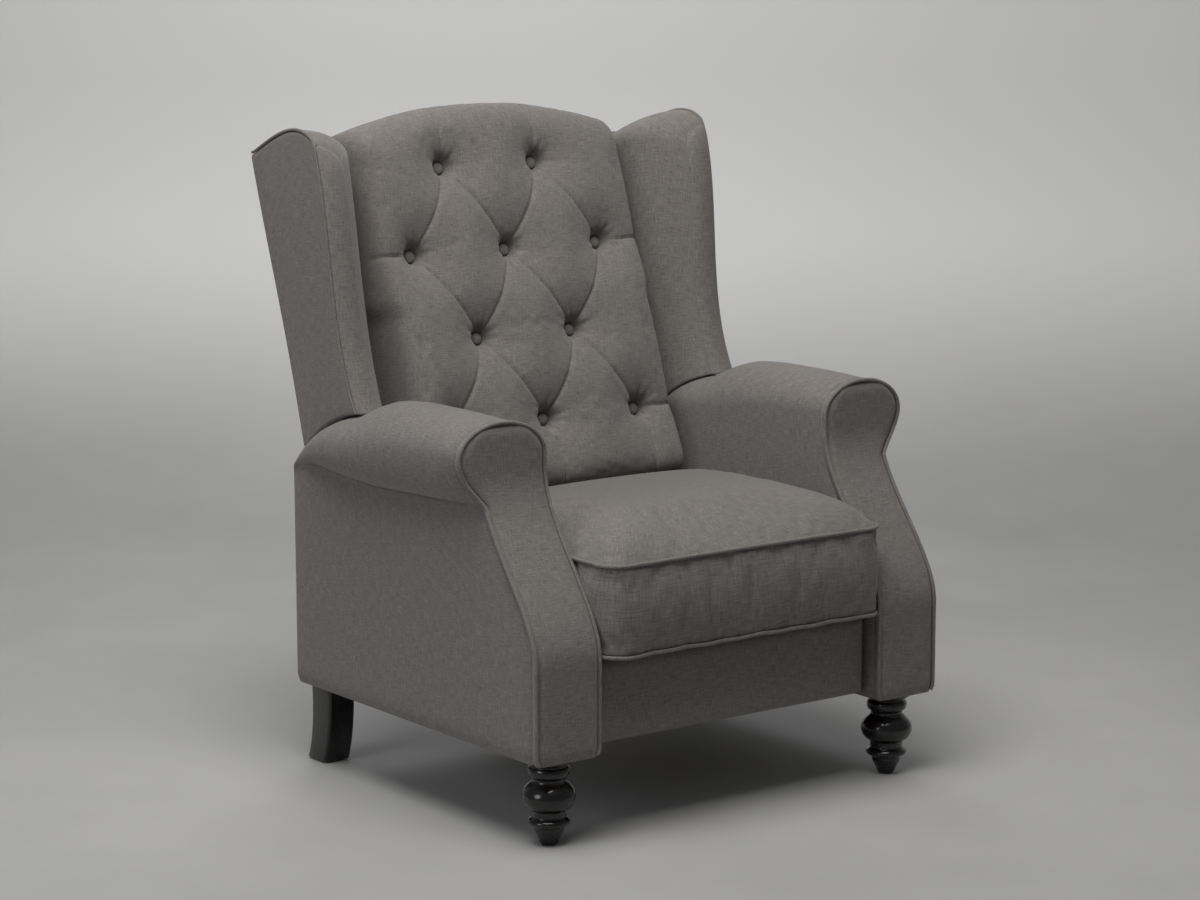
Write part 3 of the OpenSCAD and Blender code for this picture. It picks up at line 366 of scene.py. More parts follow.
def under_roll(u, y):
    """Share of the roll's swell from the crease (0) up to its widest place (1)."""
    return np.sin(np.pi / 2 * u) ** (1.1 - 0.64 * smooth((y + 0.240) / 0.07))


def tucked_foot(z):
    """How far the cloth turns in where it goes under the frame."""
    return 0.004 * (1 - smooth((z - body_low) / 0.012))


def roll_sizes(y):
    """The roll at y: crease, widest place and top as heights, swell, middle and half width."""
    top = np.interp(y, roll_places, roll_tops)
    crease = np.interp(y, crease_places, crease_heights)
    swell = np.interp(y, swell_places, swells)
    widest = crease + (0.58 - 0.16 * smooth((y + 0.2) / 0.35)) * (top - crease)
    outer = arm_out + swell
    return crease, widest, top, swell, (arm_in + outer) / 2, (outer - arm_in) / 2


def arm_section(y, edge=None):
    """Outline of the arm across the chair at y, from the inner bottom round the roll: x, z.
    With edge, the rounded inner edge keeps that distance from the back's pivot at each x."""
    crease, widest, top, swell, centre, half = roll_sizes(y)
    square = 1 - 0.38 * smooth((y - 0.02) / 0.12)
    up = np.linspace(0, 1, inner_steps)
    over = np.radians(np.linspace(180, 0, over_steps))[1:]
    under = np.linspace(1, 0, 14)[1:]
    down = np.linspace(0, 1, 26)[1:]
    x = np.concatenate([
        arm_in + 0 * up, centre + half * np.cos(over),
        arm_out + swell * under_roll(under, y), arm_out + 0 * down])
    z = np.concatenate([
        body_low + (widest - body_low) * up, widest + (top - widest) * np.sin(over) ** square,
        crease + (widest - crease) * under, crease + (body_low - crease) * down])
    drawn_in = 0.005 * (1 - smooth((y - 0.205) / 0.045))
    x = x - drawn_in * np.exp(-((z - crease) / 0.0045) ** 2) * (x < arm_out + 0.004) * (x > 0.3)
    if edge is not None:
        inner = (np.arange(len(x)) >= inner_steps - 1) & (x <= centre)
        arc = pivot_z + np.sqrt(np.maximum(np.interp(x, *edge) ** 2 - (y - pivot_y) ** 2, 0.0001))
        z = np.where(inner, arc, z)
        z[:inner_steps - 1] = body_low + (z[inner_steps - 1] - body_low) * up[:-1]
    x = x + tucked_foot(z) * np.where(x < centre, 1, -1)
    # The inner face stands back where the mechanism's plate is let into it
    plate = (x < 0.263) & (z < 0.345) & (-0.055 < y < 0.10)
    return np.where(plate, 0.2675, x), z


ring_x, ring_z = arm_section(arc_from)
rounded = slice(inner_steps - 1, inner_steps + over_steps - 1)
edge_x, edge_reach = ring_x[rounded], np.hypot(arc_from - pivot_y, ring_z[rounded] - pivot_z)


def tucked(x, z, by):
    """The outline drawn inwards by a distance along its own normals."""
    dx, dz = np.gradient(np.append(x, x[0]))[:-1], np.gradient(np.append(z, z[0]))[:-1]
    long = np.hypot(dx, dz) + 1e-9
    return x + by * dz / long, np.maximum(z - by * dx / long, body_low)


def closed_in(x, z, share):
    """The outline shrunk to a share of itself, towards a line up its middle."""
    middle, half = (x.min() + x.max()) / 2, (x.max() - x.min()) / 2
    line = np.clip(z, z.min() + 0.015, z.max() - half)
    return middle + (x - middle) * share, line + (z - line) * share


def new_tree(name, sockets):
    """A geometry tree with these inputs and one skin as its result: the tree, the inputs inside
    it, and the identifiers that set them from outside."""
    tree = bpy.data.node_groups.new(name, "GeometryNodeTree")
    keys = [tree.interface.new_socket(word, in_out="INPUT", socket_type=kind).identifier
            for word, kind in sockets]
    tree.interface.new_socket("Skin", in_out="OUTPUT", socket_type="NodeSocketGeometry")
    return tree, add(tree, "NodeGroupInput").outputs, keys


def end_tree(tree, shape):
    """The last nodes of a tree: its shape made smooth, real and covered in the cloth."""
    soft = add(tree, "GeometryNodeSetShadeSmooth", None, {"Geometry": shape})
    real = add(tree, "GeometryNodeRealizeInstances", None, {"Geometry": soft.outputs[0]})
    dyed = add(tree, "GeometryNodeSetMaterial", None, {
        "Geometry": real.outputs["Geometry"], "Material": linen})
    tree.links.new(dyed.outputs["Geometry"], add(tree, "NodeGroupOutput").inputs["Skin"])


# Self piping is a round cover along a path, with the seam's flange left out
piping_tree, start, (_, piping_radius) = new_tree("Piping along a seam", (
    ("Path", "NodeSocketGeometry"), ("Radius", "NodeSocketFloat")))
ring = add(piping_tree, "GeometryNodeCurvePrimitiveCircle", None, {
    "Resolution": 12, "Radius": start["Radius"]})
line = add(piping_tree, "GeometryNodeMeshToCurve", None, {"Mesh": start["Path"]})
tube = add(piping_tree, "GeometryNodeCurveToMesh", None, {
    "Curve": line.outputs["Curve"], "Profile Curve": ring.outputs["Curve"], "Fill Caps": True})
end_tree(piping_tree, tube.outputs["Mesh"])


def box_cloth(mesh, only=None):
    """Cloth coordinates in metres, laid on each face from the side that it looks to most.
    Where only is an axis, just the faces that look along it are laid again."""
    faces = len(mesh.polygons)
    normals = np.zeros(faces * 3)
    mesh.polygons.foreach_get("normal", normals)
    counts = np.zeros(faces, int)
    mesh.polygons.foreach_get("loop_total", counts)
    side = np.repeat(np.abs(normals.reshape(-1, 3)).argmax(1), counts)
    corner = np.zeros(len(mesh.loops), int)
    mesh.loops.foreach_get("vertex_index", corner)
    co = np.zeros(len(mesh.vertices) * 3)
    mesh.vertices.foreach_get("co", co)
    co = co.reshape(-1, 3)[corner]
    u = np.where(side == 0, co[:, 1], co[:, 0])
    v = np.where(side == 2, co[:, 1], co[:, 2])
    layer = mesh.uv_layers.get("Cloth") or mesh.uv_layers.new(name="Cloth")
    flat = np.stack([u, v], 1)
    if only is not None:
        before = np.zeros(flat.size)
        layer.data.foreach_get("uv", before)
        flat = np.where((side == only)[:, None], flat, before.reshape(-1, 2))
    layer.data.foreach_set("uv", flat.ravel())


def apply_tree(name, path, group, values):
    """A plain mesh made by a geometry tree from a line of points."""
    points = np.asarray(path, float).tolist()
    mesh = bpy.data.meshes.new(name)
    mesh.from_pydata(points, [(i, i + 1) for i in range(len(points) - 1)], [])
    piece = linked(name, mesh)
    modifier = piece.modifiers.new("Made", "NODES")
    modifier.node_group = group
    for identifier, value in values.items():
        modifier[identifier] = value
    shaped = piece.evaluated_get(bpy.context.evaluated_depsgraph_get())
    made = bpy.data.meshes.new_from_object(shaped)
    piece.modifiers.clear()
    piece.data = made
    made.name = name
    return piece


def piping(name, path, radius=0.0029):
    """Self piping, a cord of about 4 mm under a bias strip of the cloth, sewn along a seam."""
    piece = apply_tree(name, path, piping_tree, {piping_radius: radius})
    box_cloth(piece.data)
    return piece


def mirrored(grids, side):
    """The same grids for the left (-1) or right (1) side."""
    return [np.asarray(g, float) * np.array([side, 1, 1]) for g in grids]


def joined_round(rings):
    """Rings of points as a grid whose last column is its first one again."""
    grid = np.array(rings)
    return np.concatenate([grid, grid[:, :1]], 1)


def with_rims(face, back):
    """The face and back of a panel, and the four strips that close it round its edge."""
    sides = [np.stack([face[:, k], back[:, k]], 1) for k in (0, -1)]
    return [face, back] + sides + [np.stack([face[k], back[k]], 0) for k in (0, -1)]


def arm_pad_grid():
    """Rings round the arm from behind the facing to its rear end, where they close."""
    rings = []
    tips = [(0.0, 0.0045), (0.006, 0.0012), (0.016, 0.0)]
    body = [(t, 0.0) for t in np.linspace(0.05, 0.955, 46)]
    # The rear end is rounded off, then flat: rings that close in to a line up its middle
    round_off = [(1 - 0.020 * (1 - np.sin(a)), 1 - 0.18 * (1 - np.cos(a)))
                 for a in np.radians([0, 22, 45, 66, 80, 90])]
    flat_end = [(1.0, share) for share in (0.76, 0.6, 0.4, 0.2, 0.06)]
    for t, inset in tips + body + round_off + flat_end:
        y_roll = scroll_front + t * (arm_rear - scroll_front)
        x, z = arm_section(y_roll, (edge_x, edge_reach) if y_roll > arc_from else None)
        x, z = tucked(x, z, inset) if t < 0.97 else closed_in(x, z, inset)
        start = front_y(z) + facing_depth
        y = start + t * (arm_rear - start)
        # The outer panel stands a little proud between its tacked edges
        flat = (np.abs(x - arm_out) < 0.001) & (z < 0.47)
        x = x + np.where(flat, 0.0028 * np.sin(np.pi * np.clip((z - body_low) / 0.34, 0, 1)) ** 0.6
                         * np.sin(np.pi * t) ** 0.5, 0)
        rings.append(np.stack([x, y, z], 1))
    return joined_round(rings)


def facing_grids():
    """The facing board's faces and edges, from the bottom to the top of the scroll, and the
    line of the piping round it."""
    crease, widest, top, swell, centre, half = roll_sizes(roll_places[0])
    low = np.linspace(body_low, crease, 40)
    turn_in = crease + (widest - crease) * np.linspace(0, 1, 14)[1:]
    over = widest + (top - widest) * np.sin(np.radians(np.linspace(0, 90, 22)))[1:]
    z = np.concatenate([low, turn_in, over])
    lift = np.clip((z - crease) / (widest - crease), 0, 1)
    rise = np.clip((z - widest) / (top - widest), 0, 1)
    outer = np.where(z > widest, centre + half * np.sqrt(1 - rise ** 2),
                     arm_out + swell * under_roll(lift, roll_places[0]))
    inner = np.where(z > widest, centre - half * np.sqrt(1 - rise ** 2), arm_in)
    inner, outer = inner + tucked_foot(z), outer - tucked_foot(z)
    w = 0.5 - 0.5 * np.cos(np.linspace(0, np.pi, 17))
    x = inner[:, None] + w[None, :] * (outer - inner)[:, None]
    zz = np.repeat(z[:, None], len(w), 1)
    near = np.minimum.reduce([x - inner[:, None], outer[:, None] - x,
                              0.7 * (top - zz), zz - body_low + 0.004])
    puff = 0.0070 * round_over(near - 0.0030, 0.012)
    face = np.stack([x, front_y(zz) + 0.0064 - puff, zz], 2)
    back = np.stack([x, front_y(zz) + facing_depth, zz], 2)
    edge_y, edge_z = front_y(z) + 0.0036, z + 0.0028 * (z < body_low + 0.001)
    edge = np.concatenate([np.stack([inner - 0.0004, edge_y, edge_z], 1),
                           np.stack([outer + 0.0012, edge_y, edge_z], 1)[::-1]])
    return with_rims(face, back), edge


arm_rings = arm_pad_grid()
facing_sheets, facing_edge = facing_grids()
for side, word in ((-1, "left"), (1, "right")):
    pad = upholster("arm_" + word, mirrored([arm_rings], side))
    box_cloth(pad.data, 1)
    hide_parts("arm_pad_" + word)
    front = upholster("facing_" + word, mirrored(facing_sheets, side))
    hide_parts("arm_facing_" + word)
    cord = piping("facing_piping_" + word, facing_edge * np.array([side, 1, 1]))
    for piece in (pad, front, cord):
        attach(piece, "base")

# Rear of the base: a hardboard panel between the arms, covered in the same cloth and tacked to
# the rear rail. The back swings down in front of it.


def padded_board(half_w, low, high, front, rear, puff):
    """Both faces and the edges of a covered board that swells a little towards the rear."""
    u = 0.5 - 0.5 * np.cos(np.linspace(0, np.pi, 41))
    v = 0.5 - 0.5 * np.cos(np.linspace(0, np.pi, 25))
    x, z = np.meshgrid(-half_w + 2 * half_w * u, low + (high - low) * v)
    near = np.minimum.reduce([x + half_w, half_w - x, z - low, high - z])
    outer = np.stack([x, rear - puff + puff * round_over(near, 0.02), z], 2)
    return with_rims(outer, np.stack([x, np.full_like(x, front), z], 2))


rear_cover = upholster("rear_cover", padded_board(0.2658, 0.128, 0.3245, 0.2083, 0.2198, 0.0045))
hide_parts("rear_panel")
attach(rear_cover, "base")

# Legs: turned front legs with a ball between rings, and rear legs sawn to a sabre curve, in
# solid hardwood with a near-black stain under a satin lacquer. Bolts hold them under the frame.
stained_wood, tree, shader = new_material(
    "Espresso stained hardwood under lacquer", Roughness=0.24, Coat_Weight=0.6,
    Coat_Roughness=0.05, Specular_IOR_Level=0.3)
place = add(tree, "ShaderNodeTexCoord")
# The stain leaves dark open pores about 1 mm wide and 20 mm long down the leg
stretch = add(tree, "ShaderNodeMapping", None, {
    "Vector": place.outputs["Object"], "Scale": (900.0, 900.0, 45.0)})
pores = add(tree, "ShaderNodeTexNoise", None, {
    "Vector": stretch.outputs["Vector"], "Scale": 1.0, "Detail": 4.0, "Roughness": 0.6})
tone = add(tree, "ShaderNodeValToRGB", None, {"Fac": pores.outputs["Fac"]})
shades(tone, (0.32, "#0a0707"), (0.7, "#171110"))
tree.links.new(tone.outputs["Color"], shader.inputs["Base Color"])
polish = add(tree, "ShaderNodeMapRange", None, {
    "Value": pores.outputs["Fac"], "From Min": 0.3, "From Max": 0.7,
    "To Min": 0.34, "To Max": 0.2})
tree.links.new(polish.outputs["Result"], shader.inputs["Roughness"])
bump = add(tree, "ShaderNodeBump", None, {
    "Height": pores.outputs["Fac"], "Strength": 0.12, "Distance": 0.0004})
tree.links.new(bump.outputs["Normal"], shader.inputs["Normal"])

leg_at = (0.318, -0.327)
# Turned profile from the glide up: height and radius of each ring, neck and the ball, in mm
turning = [
    (3, 12.5), (4.2, 14), (8, 15.2), (14, 18.2), (20, 21.2), (23, 22), (25.5, 21.2),
    (26.6, 21.4), (28, 25), (31, 29.6), (34, 31.2), (37, 30.6), (39.5, 27.6), (41, 25.2),
    (42.5, 24.6), (46, 24.7), (50, 25), (52.2, 26.2), (53.4, 29), (56, 32.6), (61, 36.6),
    (67, 38.8), (72, 39.1), (77, 38.2), (83, 35), (88, 30.4), (91.5, 26.4), (94, 24.4), (96, 24),
    (98, 24.6), (100, 27.2), (103, 29.6), (107, 30.6), (111, 30.4), (114, 28.8), (115.6, 27.2),
    (117, 27), (118.4, 29.5), (121, 33.5), (124, 35.6), (127, 36), (128, 35.6),
]


def turned(profile, x, y):
    """Rings of a turned leg round its upright middle line."""
    steps = np.linspace(0, 1, 97)[:-1] * 2 * np.pi
    return joined_round([
        [(x + r * np.cos(a), y + r * np.sin(a), z) for a in steps]
        for z, r in np.array(profile) / 1000])


def sabre_leg(x0, x1, ease=0.0045):
    """A leg sawn from board to two curves, and eased over at its four long corners."""
    t = np.linspace(0, 1, 22)[:, None]
    front, back = [
        (1 - t) ** 2 * np.array(top) + 2 * t * (1 - t) * np.array(bend) + t ** 2 * np.array(foot)
        for top, bend, foot in (((0.208, 0.128), (0.206, 0.0512), (0.225, 0.003)),
                                ((0.262, 0.128), (0.256, 0.0448), (0.275, 0.003)))]
    turn = np.radians(np.linspace(0, 90, 6))
    rings = []
    for p, q in zip(front, back):
        long = np.linalg.norm(q - p)
        d = (q - p) / long
        ring = []
        for cx, cy, a0 in ((x0 + ease, ease, 180), (x1 - ease, ease, 270),
                           (x1 - ease, long - ease, 0), (x0 + ease, long - ease, 90)):
            for a in turn + np.radians(a0):
                along = cy + ease * np.sin(a)
                ring.append((cx + ease * np.cos(a), p[0] + d[0] * along, p[1] + d[1] * along))
        rings.append(ring)
    return joined_round(rings)


for side, word in ((-1, "left"), (1, "right")):
    front_leg = upholster(
        "front_turned_leg_" + word, [turned(turning, side * leg_at[0], leg_at[1])])
    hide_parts("front_leg_" + word)
    rear_leg = upholster("rear_sabre_leg_" + word, mirrored([sabre_leg(0.299, 0.345)], side))
    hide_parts("rear_leg_" + word)
    for leg in (front_leg, rear_leg):
        leg.data.materials.clear()
        leg.data.materials.append(stained_wood)
        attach(leg, "base")

# Seat cushion: foam wrapped in fibre in a boxed cloth cover, with self piping round the top and
# bottom of its front and sides. It lies on the sprung seat and hangs down in front of it.
seat_half, seat_front, seat_rear, seat_corner = 0.255, -0.390, 0.165, 0.034
seat_mid, seat_long = (seat_front + seat_rear) / 2, (seat_rear - seat_front) / 2


def seat_outline(inset):
    """Rounded outline from above, with the sides drawn in between the corners: x, y."""
    cx, cy = seat_half - seat_corner, seat_long - seat_corner
    t = np.linspace(0, 1, 38)[:-1]
    front = np.stack([cx * t, seat_front + inset + 0.003 * (1 - t ** 2)], 1)
    turn = np.radians(np.linspace(-90, 0, 15))
    low = np.stack([cx + (seat_corner - inset) * np.cos(turn),
                    seat_mid - cy + (seat_corner - inset) * np.sin(turn)], 1)
    y = np.linspace(seat_mid - cy, seat_mid + cy, 70)[1:-1]
    drawn = 0.003 * np.sin(np.pi * (y - seat_front) / (2 * seat_long))
    side = np.stack([seat_half - inset - drawn, y], 1)
    turn = np.radians(np.linspace(0, 90, 13))
    high = np.stack([cx + (seat_corner - inset) * np.cos(turn),
                     seat_mid + cy + (seat_corner - inset) * np.sin(turn)], 1)
    rear = np.stack([cx * t[::-1], np.full(len(t), seat_rear - inset)], 1)
    right = np.concatenate([front, low, side, high, rear])
    return np.concatenate([right, right[-2:0:-1] * np.array([-1, 1])])


def seat_seam_top(y):
    """Height of the seam round the cushion's crown, which falls towards the rear."""
    return 0.400 - 0.070 * smooth((y + 0.06) / 0.225)


def seat_seam_low(y):
    """Height of the lower seam, which hangs down in front of the frame."""
    return np.interp(y, [-0.3495, -0.348], [0.268, 0.2973])


def seat_grid():
    """Rings from under the cushion, up the boxing and over the crown to the middle."""
    rings = []
    under = seat_outline(0.020)
    for k in (1.0, 0.7, 0.35, 0.0):
        x, y = under[:, 0] * (1 - k), seat_mid + (under[:, 1] - seat_mid) * (1 - k)
        rings.append(np.stack([x, y, np.where(y < -0.348, seat_seam_low(y) + 0.003, 0.2973)], 1))
    for f in np.linspace(0, 1, 17):
        bulge = 0.0035 * np.sin(np.pi * f) ** 0.75
        tuck = 0.0015 * (1 - np.clip(np.minimum(f, 1 - f) / 0.06, 0, 1))
        x, y = seat_outline(0.0015 + tuck - bulge).T
        low, top = seat_seam_low(y), seat_seam_top(y)
        rings.append(np.stack([x, y, low + f * (top - low)], 1))
    edge = seat_outline(0.003)
    near_seam = [0.004, 0.01, 0.018, 0.03, 0.045]
    for k in np.concatenate([near_seam, np.linspace(0.065, 0.97, 36), [1.0]]):
        x, y = edge[:, 0] * (1 - k), seat_mid + (edge[:, 1] - seat_mid) * (1 - k)
        dome = 0.86 + 0.14 * np.cos(np.pi * x / seat_half / 2) \
            * np.cos(np.pi * (y - seat_mid) / seat_long / 2)
        rise = (0.052 - 0.013 * smooth((y + 0.20) / 0.25)) * dome * (1 - (1 - k) ** 8)
        rings.append(np.stack([x, y, seat_seam_top(y) + rise], 1))
    return joined_round(rings)


def filled(grid, held, centre, pressure, spare, most, wrap=False):
    """The cloth pressed out by its filling between the places that are held, as a short cloth
    simulation: it is cut a little too large, and no point moves further than most."""
    plain = grid[:, :-1] if wrap else grid
    rows, cols, _ = plain.shape
    faces = quads(rows, cols, wrap=wrap)
    points = plain.reshape(-1, 3)
    corner = points[faces]
    normal = np.cross(corner[:, 2] - corner[:, 0], corner[:, 3] - corner[:, 1])
    if (normal * (corner.mean(1) - centre)).sum() < 0:
        faces = faces[:, ::-1]
    mesh = bpy.data.meshes.new("blank")
    mesh.from_pydata(points.tolist(), [], faces.tolist())
    blank = linked("blank", mesh)
    group = blank.vertex_groups.new(name="Held")
    weight = np.round(held[:, :cols].ravel(), 2)
    for level in np.unique(weight[weight > 0]):
        group.add(np.flatnonzero(weight == level).tolist(), float(level), "REPLACE")
    cloth = blank.modifiers.new("Filling", "CLOTH")
    cloth.settings.quality = 5
    cloth.settings.mass = 0.3
    cloth.settings.tension_stiffness = cloth.settings.compression_stiffness = 15
    cloth.settings.bending_stiffness = 0.3
    cloth.settings.use_pressure = True
    cloth.settings.uniform_pressure_force = pressure
    cloth.settings.vertex_group_mass = "Held"
    cloth.settings.shrink_min = -spare
    cloth.settings.effector_weights.gravity = 0
    cloth.collision_settings.use_collision = False
    scene = bpy.context.scene
    for step in range(1, 21):
        scene.frame_set(step)
    shaped = blank.evaluated_get(bpy.context.evaluated_depsgraph_get()).to_mesh()
    after = np.zeros(len(points) * 3)
    shaped.vertices.foreach_get("co", after)
    moved = after.reshape(-1, 3) - points
    far = np.linalg.norm(moved, axis=1, keepdims=True)
    moved *= np.minimum(1, most / np.maximum(far, 1e-9))
    scene.frame_set(1)
    bpy.data.objects.remove(blank)
    out = (points + moved).reshape(rows, cols, 3)
    return joined_round(out) if wrap else out


seat_rings = seat_grid()
under_rings, boxing_rings = 4, 17
held = np.zeros(seat_rings.shape[:2])[under_rings:-1]
held[0], held[boxing_rings - 1:boxing_rings + 1] = 1, 1
seat_rings[under_rings:-1] = filled(
    seat_rings[under_rings:-1], held, np.array([0, seat_mid, 0.34]),
    pressure=4.0, spare=0.02, most=0.009, wrap=True)
seat_rings[-1] = seat_rings[-2].mean(0)
seat_cushion = upholster("seat_cushion_cover", [seat_rings])
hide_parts("seat_cushion")
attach(seat_cushion, "seat")
# Piping is sewn where it shows, and the lower one wavers a little with the gathered boxing
rim = seat_outline(-0.0005)
rim = rim[np.argsort(np.where(rim[:, 0] >= 0, 1, -1) * (rim[:, 1] - seat_front) + 0.4 * rim[:, 0])]
round_top, round_low = rim[rim[:, 1] < 0.06], rim[rim[:, 1] < -0.3495]
waver = 0.0006 * np.sin(95 * round_low[:, 0]) + 0.0005 * np.sin(41 * round_low[:, 0] + 1.1)
for word, path in (
        ("top", np.column_stack([round_top, seat_seam_top(round_top[:, 1])])),
        ("low", np.column_stack([round_low, seat_seam_low(round_low[:, 1]) + 0.001 + waver]))):
    cord = piping("seat_piping_" + word, path)
    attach(cord, "seat")

# Tufted back: one thick cushion on the sprung back frame, drawn in by ten covered buttons.
# The cloth folds down in diamonds between them, with straight pleats to the top, sides and foot.
lean = np.radians(16)
foot_y, foot_z, back_long, arch_rise, gap_half = 0.248, 0.488, 0.494, 0.042, 0.262
arch_radius = (gap_half ** 2 + arch_rise ** 2) / (2 * arch_rise)


def on_slope(x, d, s):
    """A place on the leaning back: x across, d to the rear of its board, s up the slope."""
    return np.stack(np.broadcast_arrays(
        x, foot_y + d * np.cos(lean) + s * np.sin(lean),
        foot_z - d * np.sin(lean) + s * np.cos(lean)), -1)


def arch(x):
    """How far up the slope the frame's arched top stands."""
    return back_long - (arch_radius - np.sqrt(arch_radius ** 2 - x ** 2))


row_low, pitch_up, pitch_across = -0.008, 0.137, 0.177
row_top = row_low + 3 * pitch_up
buttons = [
    ((k - (n - 1) / 2) * pitch_across, row_low + r * pitch_up)
    for r, n in enumerate((3, 2, 3, 2)) for k in range(n)
]
frame_face, cushion_foot, crest_over, cushion_lift = -0.0444, -0.114, 0.013, 0.004
folds = [
    (a, b) for a in buttons for b in buttons
    if abs(b[1] - a[1] - pitch_up) < 0.001 and abs(b[0] - a[0]) < pitch_across * 0.6
]
folds += [(b, (b[0], back_long + crest_over + 0.02)) for b in buttons if b[1] > 0.35]
folds += [(b, (b[0], cushion_foot)) for b in buttons if b[1] < 0.0]
folds += [(b, (np.sign(b[0]) * gap_half, b[1])) for b in buttons if abs(b[0]) > 0.15]


def crest(x):
    """How far up the slope the cushion reaches over the arch."""
    return arch(x) + crest_over


def half_width(s):
    """The cushion's half width: it fills out above the arms."""
    return 0.2495 + 0.006 * smooth((s - 0.162) / 0.040)


def plain_depth(s):
    """How far in front of the frame the buttons hold the cloth."""
    return 0.089 - 0.103 * (s - row_low)


def to_buttons(x, s):
    """The distance to every button."""
    return np.array([np.hypot(x - b[0], s - b[1]) for b in buttons])


def tuft_height(x, s):
    """How far the cloth stands over the buttons, in pillows between the folds."""
    from_buttons = to_buttons(x, s)
    from_fold, above = np.full(x.shape, 9.0), np.zeros(x.shape)
    for a, b in folds:
        dx, ds = b[0] - a[0], b[1] - a[1]
        along = np.clip(((x - a[0]) * dx + (s - a[1]) * ds) / (dx * dx + ds * ds), 0, 1)
        px, ps = x - a[0] - dx * along, s - a[1] - ds * along
        away = np.hypot(px, ps)
        above = np.where(away < from_fold, ps, above)
        from_fold = np.minimum(from_fold, away)
    out = np.maximum(from_buttons.min(0) - 0.0108, 0)
    # The twine pulls a steep pit into the foam round each button
    pit = 0.0090 * np.exp(-(out / 0.0070) ** 2) + 0.0060 * (out <= 0)
    dome = 0.0270 * (1 - np.exp(-(out / 0.028) ** 0.80)) - pit
    pillow = 0.0052 * (1 - np.exp(-from_fold / 0.020)) * smooth(out / 0.03)
    # The cloth of the upper pillow laps over the lower one, so a fold is steeper above
    crease = 0.0036 * np.exp(-from_fold / np.where(above > 0, 0.0011, 0.0024))
    # Puckers run out from each button where the cloth is gathered
    nearest = from_buttons.argmin(0)
    at = np.array(buttons)[nearest]
    angle = np.arctan2(s - at[..., 1], x - at[..., 0])
    pucker = np.sin(9 * angle + 2.1 * nearest) + 0.7 * np.sin(14 * angle + 1.3 * nearest + 1.0)
    gathered = 0.00085 * np.exp(-((out - 0.010) / 0.010) ** 2) * pucker
    return dome + pillow - crease * smooth(out / 0.012) + gathered


def sagged(x, s):
    """The cloth hangs a little between the two buttons at the ends of each fold."""
    p = (x / (pitch_across / 2) + (s - row_low) / pitch_up) / 2
    q = ((s - row_low) / pitch_up - x / (pitch_across / 2)) / 2
    wave = np.sin(np.pi * q) ** 2 * np.cos(np.pi * p) ** 2 \
        + np.sin(np.pi * p) ** 2 * np.cos(np.pi * q) ** 2
    inside = smooth((s - row_low) / 0.03) * smooth((row_top - s) / 0.03)
    return s - 0.004 * wave * inside * smooth((0.2 - np.abs(x)) / 0.04)


def tufted_face(x, s):
    """The front of the cushion, rolled over at its sides, crest and foot."""
    rolls = (0.10 + 0.90 * round_over(half_width(s) - np.abs(x), 0.028)) \
        * (0.14 + 0.86 * round_over(crest(x) - s, 0.048)) \
        * (0.86 + 0.14 * round_over(s - cushion_foot, 0.034))
    depth = plain_depth(s) + tuft_height(x, s)
    return on_slope(x, frame_face - depth * rolls, sagged(x, s) + cushion_lift)


# Columns and rows step so that every fold runs along the grid or along its diagonals. Past the
# outer buttons the columns close up to end at the cushion's side, and the rows bend to its crest.
fine = 44
columns = np.arange(-3 * fine, 3 * fine + 1) * pitch_across / 2 / fine
rows_low = np.linspace(cushion_foot, row_low, 36)[:-1]
rows_mid = row_low + np.arange(3 * fine + 1) * pitch_up / fine
to_crest = np.sin(np.linspace(0, np.pi / 2, 34))[1:]
level = np.concatenate([rows_low, rows_mid, np.full(len(to_crest), row_top)])[:, None]
share = np.concatenate([0 * rows_low, 0 * rows_mid, to_crest])[:, None]
edge_from, edge_to = 0.236, 3 * pitch_across / 2
past = np.abs(columns) - edge_from
closed_up = edge_from + past * (half_width(level) - edge_from) / (edge_to - edge_from)
x_grid = np.where(past > 0, np.sign(columns) * closed_up, columns)
s_grid = level + share * (crest(x_grid) - level)
face = tufted_face(x_grid, s_grid)
# Every second column and row goes through the simulation, with its border and buttons held
held = 0.96 * np.exp(-np.maximum(to_buttons(x_grid, s_grid).min(0) - 0.012, 0) / 0.010)
held[:2], held[-2:], held[:, :2], held[:, -2:] = 1, 1, 1, 1
picked = [np.unique(np.append(np.arange(0, n, 2), n - 1)) for n in face.shape[:2]]
coarse = face[np.ix_(*picked)]
moved = filled(coarse, held[np.ix_(*picked)], np.array([0, 0.45, 0.65]),
               pressure=3.0, spare=0.007, most=0.004) - coarse
for axis in (1, 0):
    moved = np.apply_along_axis(
        lambda line: np.interp(np.arange(face.shape[axis]), picked[axis], line), axis, moved)
for axis in (0, 1):
    moved = (np.roll(moved, 1, axis) + 2 * moved + np.roll(moved, -1, axis)) / 4
moved *= smooth((half_width(s_grid) - np.abs(x_grid)) / 0.045)[..., None]
moved[:1], moved[-1:] = 0, 0
# The sides of the cushion spread to the rear, where they close the gap beside the wings
rear = on_slope(x_grid * (1 + 0.0054 / half_width(s_grid)), frame_face,
                np.maximum(s_grid, cushion_foot + 0.054))
tufted = upholster("tufted_back_cushion", with_rims(face + moved, rear))
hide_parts("back_cushion")
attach(tufted, "back")

